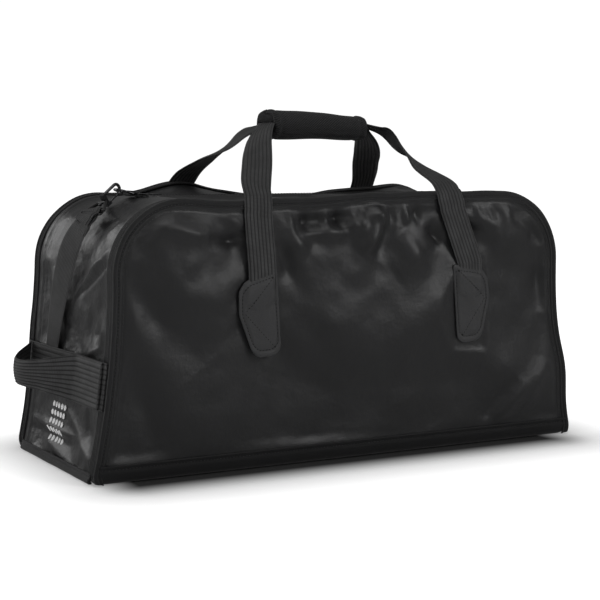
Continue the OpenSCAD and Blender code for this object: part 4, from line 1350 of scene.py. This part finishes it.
GRAB_Z = 115
GRAB_W = 56
GRAB_RIBS = 9
GRAB_HALF_Y = HALF_DEPTH - BINDING_W - 0.6
STRAP_SLOT = 3.2
GRAB_BULGE = 38
LOOP_FRONT_Y = -40
LOOP_PINCH = 0.42


def add_grab_strip(parts, y, x_of, half, side, thick, depth):
    """Ribbed strip along Y; x_of(y, z) is its middle surface and half its half height at each y."""
    s = np.linspace(0, 1, GRAB_RIBS * 5 + 1)
    yy, ss = np.meshgrid(y, s, indexing="ij")
    zz = GRAB_Z + half[:, None] * (2 * ss - 1)
    x = x_of(yy, zz)
    ribs = rib_profile(ss, GRAB_RIBS, depth, 0.03)
    outer = np.stack([side * (x + thick / 2 + ribs), yy, zz], axis=2)
    inner = np.stack([side * (x - thick / 2), yy, zz], axis=2)
    if (normals_of(outer)[5, 5, 0]) * side < 0:
        outer, inner, ss = outer[:, ::-1], inner[:, ::-1], ss[:, ::-1]
    add_slab(parts, outer, inner, uv=np.stack([yy, GRAB_W * ss], axis=2))


def build_grab_band(name, side, node):
    parts = Parts()
    y = np.linspace(-GRAB_HALF_Y - 8, GRAB_HALF_Y + 8, 80)
    half = GRAB_W / 2 + 0 * y

    def x_of(yy, zz):
        return side_x(zz) + STRAP_SLOT + 0.7 + 0.3 * noise(yy, zz, 40, 33)

    add_grab_strip(parts, y, x_of, half, side, 1.2, 0.5)
    for edge in (-1, 1):
        at = edge * (GRAB_HALF_Y + 5)
        z = np.linspace(GRAB_Z - GRAB_W / 2 + 2, GRAB_Z + GRAB_W / 2 - 2, 20)
        line = np.stack([side * (side_x(z) + STRAP_SLOT + 1.9), at + 0 * z, z], axis=1)
        add_stitches(parts, line, (side, 0, 0), 1)
    return parts.build(name, [RIBBED, THREAD], "shell", [node])


def grab_bow(y):
    inside = np.clip((y - LOOP_FRONT_Y) / (GRAB_HALF_Y - 4 - LOOP_FRONT_Y), 0, 1)
    return np.sin(math.pi * inside) ** 1.3


LOOP_X = float(side_x(GRAB_Z - GRAB_W / 2)) + STRAP_SLOT + 2.3
LOOP_MIDDLE_Y = 40


def build_grab_loop(name, side, low_y, high_y, nodes):
    """One half of a grab loop: sewn to the shell at one end, carried by the loop at the other."""
    y = np.linspace(low_y, high_y, 60)
    bow = grab_bow(y)
    half = GRAB_W / 2 * (1 - LOOP_PINCH * bow)

    def x_of(yy, zz):
        bowed = grab_bow(yy)
        cup = (1 - ((zz - GRAB_Z) / (GRAB_W / 2 * (1 - LOOP_PINCH * bowed))) ** 2) * 3.0 * bowed
        follow = side_x(zz) - side_x(GRAB_Z - GRAB_W / 2)
        crease = 2.4 * np.exp(-(((yy - 6) / 9) ** 2)) - 1.6 * np.exp(-(((yy + 34) / 8) ** 2))
        shape = LOOP_X + follow * (1 - bowed) + GRAB_BULGE * bowed + cup - crease
        return shape + 1.2 + 0.5 * noise(yy, zz, 30, 35)

    parts = Parts()
    add_grab_strip(parts, y, x_of, half, side, 1.4, 1.3)
    piece = parts.build(name, [RIBBED], None, nodes)
    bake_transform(piece)
    return piece


for end, sign in (("left", -1), ("right", 1)):
    build_grab_band(f"{end}_grab_band_webbing", sign, f"{end}_grab_band")
    build_grab_loop(f"{end}_grab_loop_front", sign, -GRAB_HALF_Y, LOOP_MIDDLE_Y,
                    [f"{end}_grab_loop"])
    build_grab_loop(f"{end}_grab_loop_back", sign, LOOP_MIDDLE_Y, GRAB_HALF_Y - 3,
                    [])


# ---------- rings, hook and strap ----------

RING_X = 246
RING_BAR_Z = SPRING_Z + math.sqrt(CORNER_R**2 - (RING_X - ARC_X) ** 2) + 4.6
TAB_W = 25


def turn_y(points, degrees, centre):
    a = math.radians(degrees)
    p = points - np.array(centre)
    x = p[..., 0] * math.cos(a) + p[..., 2] * math.sin(a)
    z = -p[..., 0] * math.sin(a) + p[..., 2] * math.cos(a)
    return np.stack([x, p[..., 1], z], axis=-1) + np.array(centre)


def build_ring_tab(name, side, turn, node):
    """Webbing folded round the ring's bar, its two ends sewn down towards the mouth."""
    loop = np.radians(np.linspace(-110, 150, 22))
    r = 3.0
    fold_line = [(RING_X + r * math.cos(a), RING_BAR_Z + r * math.sin(a)) for a in loop]
    ground = SPRING_Z + math.sqrt(CORNER_R**2 - (RING_X - 20 - ARC_X) ** 2) if RING_X - 20 > ARC_X else HEIGHT
    tail = [(RING_X - 8, RING_BAR_Z - 0.2), (RING_X - 14, ground + 2.4), (RING_X - 22, ground + 1.6)]
    under = [(RING_X - 22, ground + 0.4), (RING_X - 8, HEIGHT)]
    path = np.array(under + fold_line + tail)
    path = dense(path, 1.5, closed=False)
    centre = np.stack([path[:, 0], 0 * path[:, 0], path[:, 1]], axis=1)
    parts = Parts()
    add_webbing(parts, centre, np.tile([0.0, 1, 0], (len(centre), 1)), TAB_W, 0.9, 5, 0.3)
    for offset in (-1, 1):
        line = np.array([[RING_X - 17, offset * y, ground + 2.9] for y in (9.5, 1.5)])
        add_stitches(parts, line, (0, 0, 1), 1)
    points = np.concatenate(parts.points)
    points = turn_y(points, turn, (ARC_X, 0, SPRING_Z)) if turn else points
    points[:, 0] *= side
    parts.points = [points]
    if side < 0:
        parts.faces = [tuple(reversed(f)) for f in parts.faces]
    return parts.build(name, [STRAP, THREAD], "shell", [node])


build_ring_tab("left_ring_tab_webbing", -1, 0, "left_ring_tab")
build_ring_tab("right_ring_tab_webbing", 1, 27, "right_ring_tab")

HOOK_YAW, HOOK_DIP, HOOK_ROLL = (math.radians(a) for a in (-24, 33, -10))
RING_RISE = math.radians(16)
HOOK_ORIGIN = np.array([RING_X + 18 * math.cos(RING_RISE), 0, RING_BAR_Z + 18 * math.sin(RING_RISE)])
LOOP_BAR = 50
STRAP_FOOT = np.array([float(side_x(107)) + 1.5, 56, 107.0])
# How the strap's curve is drawn away from its two ends
STRAP_TOP_PULL, STRAP_FOOT_PULL = np.array([16, 12, -22]), np.array([-15.5, 6, 84])


def turned(a, b, angle):
    return a * math.cos(angle) - b * math.sin(angle), a * math.sin(angle) + b * math.cos(angle)


def hook_direction(v):
    """A direction in the hook's own frame, turned into the frame of the right end."""
    x, y, z = v
    y, z = turned(y, z, HOOK_ROLL)
    z, x = turned(z, x, HOOK_DIP)
    return np.array([*turned(x, y, HOOK_YAW), z])


def build_strap():
    """End strap: sewn behind the grab band, folded round the loop's bar and stitched back on itself."""
    bar = HOOK_ORIGIN + hook_direction((LOOP_BAR, 0, 0))
    outward = hook_direction((1, 0, 0))
    top = bar + outward * 5.6
    control = [top, top + hook_direction((36, 0, 0)) + STRAP_TOP_PULL, STRAP_FOOT + STRAP_FOOT_PULL,
               STRAP_FOOT]
    t = np.linspace(0, 1, 90)
    path = bezier(control, t)
    width0 = hook_direction((0, 1, 0))
    ease = smooth(t)[:, None]
    width = (1 - ease) * width0 + ease * np.array([0, 1.0, 0])
    parts = Parts()
    flip = np.array([-1, 1, 1])
    add_webbing(parts, path * flip, width * flip, 37, 1.1, 12, 0.16)
    around = np.radians(np.linspace(-150, 150, 26))
    r = 3.4
    up = hook_direction((0, 0, 1))
    turn = bar + np.array([-outward * r * math.cos(a) + up * r * math.sin(a) for a in around])
    lower = np.array([path[k] - up * 1.2 for k in (6, 12)])
    upper = np.array([path[k] + up * 3.2 + outward * 0.6 for k in (2, 4, 6, 7)])
    line = dense(np.concatenate([lower[::-1], turn, upper]), 1.6, closed=False)
    add_webbing(parts, line * flip, np.tile(width0 * flip, (len(line), 1)), 37, 2.2, 9, 1.1, 1)
    piece = parts.build("left_strap_webbing", [STRAP, FOLDED_STRAP], None, ["left_strap"])
    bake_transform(piece)
    return piece


build_strap()


# ---------- pocket zip on the right end ----------

POCKET_Z = 34
POCKET_HALF = 118


def build_pocket_zip():
    slope = 2 * END_FLARE / SPRING_Z * (1 - POCKET_Z / SPRING_Z)
    out = np.array([1, 0, slope]) / math.hypot(1, slope)
    up = np.array([-slope, 0, 1]) / math.hypot(1, slope)
    base = np.array([float(side_x(POCKET_Z)), 0, POCKET_Z]) - out * 3.5
    coil = Parts()
    tapes = Parts()
    for s in (-1, 1):
        add_coil(coil, base + [0, -POCKET_HALF + 1, 0], base + [0, POCKET_HALF - 1, 0], up, out, s)
        y = np.linspace(-POCKET_HALF, POCKET_HALF, 60)
        q = np.linspace(0, 1, 17)
        yy, qq = np.meshgrid(y, q, indexing="ij")
        reach = 3.2 + qq * 10.5
        lift = -0.6 + 0.15 * np.abs(np.sin(qq * math.pi * 6)) ** 0.6
        outer = base + up * (s * reach)[..., None] + out * lift[..., None]
        outer[..., 1] += yy
        add_slab(tapes, *facing(outer, outer - out * 0.8, out))
    coil.build("pocket_zip_coil", [COIL], "shell", ["pocket_zip_chain"])
    tapes.build("pocket_zip_tape", [ZIP_TAPE], "shell", ["pocket_zip_tapes"])


build_pocket_zip()


# ---------- printed mark ----------


def build_mark():
    """Plain grid of printed dots low on the left end."""
    parts = Parts()
    angles = np.linspace(0, 2 * math.pi, 14, endpoint=False)
    for row in range(5):
        for column in range(5):
            y = MARK_Y + (2 - column) * MARK_STEP
            h = MARK_Z + (row - 2) * MARK_STEP
            rings = []
            for radius, lift in ((3.6, -0.4), (3.6, 0.5), (3.2, 0.62)):
                yy, hh = y + radius * np.cos(angles), h + radius * np.sin(angles)
                x, z, nx, nz = end_place(hh)
                relief = end_relief(yy, hh, LEFT_CREASES, 51) + lift
                rings.append(np.stack([-(x + nx * relief), yy, z + nz * relief], axis=1))
            add_tube(parts, np.array(rings))
    return parts.build("left_end_mark", [PRINT], "shell")


build_mark()


# ---------- finish of the pieces that keep their CAD shape ----------

KEPT = {
    METAL: ["zip_slider", "zip_pull", "pocket_slider", "pocket_pull", "left_d_ring", "right_d_ring",
            "left_hook", "left_hook_gate"],
    PLASTIC: ["left_hook_loop"],
    PILE: ["grip_fastener"],
    BOARD: ["base_board"],
    LINING: ["pocket_lining"],
}
for material, names in KEPT.items():
    for node_name in names:
        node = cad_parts[node_name]
        node.data.materials.clear()
        node.data.materials.append(material)


# ---------- stage, lights and camera ----------


def floor_look():
    """Pale floor with a painted contact shadow before the bag: its colour darkens and its glow dims towards
    the bag's footprint; further out it glows, so that it meets the backdrop without an edge."""
    look = Look("floor_white", (0.82, 0.82, 0.82), 0.9, 0.0)
    look.set("Emission Color", (1, 1, 1, 1))
    half_box = (BASE_HALF * MM - PAINTED_SHADOW_TAPER, HALF_DEPTH * MM, 0)
    at = look.coords.outputs["Object"]
    for operation, operand in (("ADD", (0, PAINTED_SHADOW_FORWARD, 0)), ("ABSOLUTE", None), ("SUBTRACT", half_box),
                               ("MAXIMUM", (0, 0, 0)), ("LENGTH", None)):
        node = look.tree.nodes.new("ShaderNodeVectorMath")
        node.operation = operation
        if operand:
            node.inputs[1].default_value = operand
        look.link(at, node.inputs[0])
        at = node.outputs["Value" if operation == "LENGTH" else "Vector"]
    # Painted shadow: the floor's glow dims towards the bag's footprint
    glow = look.faded(at, "SMOOTHERSTEP", (-FLOOR_SHADOW, FLOOR_SHADOW), FLOOR_GLOW)
    look.link(glow, look.shader.inputs["Emission Strength"])
    # Painted contact shadow: the floor's colour darkens towards the bag's footprint
    look.tint(look.faded(at, "SMOOTHSTEP", (0, PAINTED_SHADOW_WIDTH), (0, 1)), 1.0, PAINTED_SHADOW_DARK)
    look.relief(look.noise(3, 2), 0.0001)
    return look.material


def backdrop_look():
    look = Look("backdrop_white", (0, 0, 0), 0.9, 0.0)
    look.set("Emission Color", (1, 1, 1, 1))
    look.set("Emission Strength", BACKDROP_GLOW)
    return look.material


FLOOR_SIZE, FLOOR_DROP = 30, 0.0004
BACKDROP_RADIUS, BACKDROP_GLOW = 14, 1.05
# The floor's glow as it fades in over this distance to both sides of the painted shadow's outline, in metres;
# near the bag the dimmed glow is part of the painted shadow
FLOOR_GLOW = (-1.0, 1.0)
FLOOR_SHADOW = 0.3
# The contact shadow painted into the floor's colour: shift towards the front, cut at the ends, width of its
# fade, and its darkness
PAINTED_SHADOW_FORWARD, PAINTED_SHADOW_TAPER, PAINTED_SHADOW_WIDTH = 0.018, 0.05, 0.07
PAINTED_SHADOW_DARK = 0.06


def build_stage():
    bpy.ops.mesh.primitive_plane_add(size=FLOOR_SIZE, location=(0, 0, -FLOOR_DROP))
    floor = bpy.context.object
    floor.name = "floor"
    floor.visible_glossy = False
    floor.data.materials.append(floor_look())
    bpy.ops.mesh.primitive_uv_sphere_add(radius=BACKDROP_RADIUS, segments=48, ring_count=24,
                                         location=(0, 0, 0))
    dome = bpy.context.object
    dome.name = "backdrop"
    dome.data.materials.append(backdrop_look())
    dome.visible_diffuse = dome.visible_glossy = dome.visible_shadow = dome.visible_transmission = False


def area_light(name, place, target, size, power):
    lamp = bpy.data.lights.new(name, "AREA")
    lamp.shape, lamp.size, lamp.energy = "DISK", size, power
    light = bpy.data.objects.new(name, lamp)
    light.location = place
    light.rotation_euler = (Vector(target) - Vector(place)).to_track_quat("-Z", "Y").to_euler()
    bpy.context.scene.collection.objects.link(light)
    return light


def build_lights():
    world = bpy.data.worlds.new("studio")
    world.use_nodes = True
    world.node_tree.nodes["Background"].inputs["Color"].default_value = (1, 1, 1, 1)
    world.node_tree.nodes["Background"].inputs["Strength"].default_value = WORLD_LIGHT
    bpy.context.scene.world = world
    for name, place, size, radiance in SOFTBOXES:
        area_light(name, place, (0, 0, 0.2), size, radiance * math.pi**2 * size**2 / 4)


WORLD_LIGHT = 0.17
# Place, diameter and radiance of each softbox
SOFTBOXES = [
    ("back_left", (-1.7, 2.3, 1.3), 1.7, 2.0), ("right_high", (1.6, -2.6, 1.7), 1.25, 5.6),
    ("overhead", (-0.2, -0.3, 2.8), 2.0, 1.6), ("left", (-2.6, -0.9, 1.5), 1.2, 1.8),
]


build_stage()
build_lights()


CAMERA_AZIMUTH = math.radians(-28.893)
CAMERA_ELEVATION = math.radians(5.693)
CAMERA_DISTANCE = 2.0172
CAMERA_TARGET = Vector((-0.00027, 0, 0.1906))


def build_camera():
    data = bpy.data.cameras.new("camera")
    data.lens, data.sensor_width = 90, 36
    data.clip_start, data.clip_end = 0.05, 100
    camera = bpy.data.objects.new("camera", data)
    back = Vector((math.sin(CAMERA_AZIMUTH) * math.cos(CAMERA_ELEVATION),
                   -math.cos(CAMERA_AZIMUTH) * math.cos(CAMERA_ELEVATION), math.sin(CAMERA_ELEVATION)))
    camera.location = CAMERA_TARGET + back * CAMERA_DISTANCE
    camera.rotation_euler = (-back).to_track_quat("-Z", "Y").to_euler()
    bpy.context.scene.collection.objects.link(camera)
    bpy.context.scene.camera = camera


build_camera()
bpy.context.scene.view_settings.view_transform = "Standard"
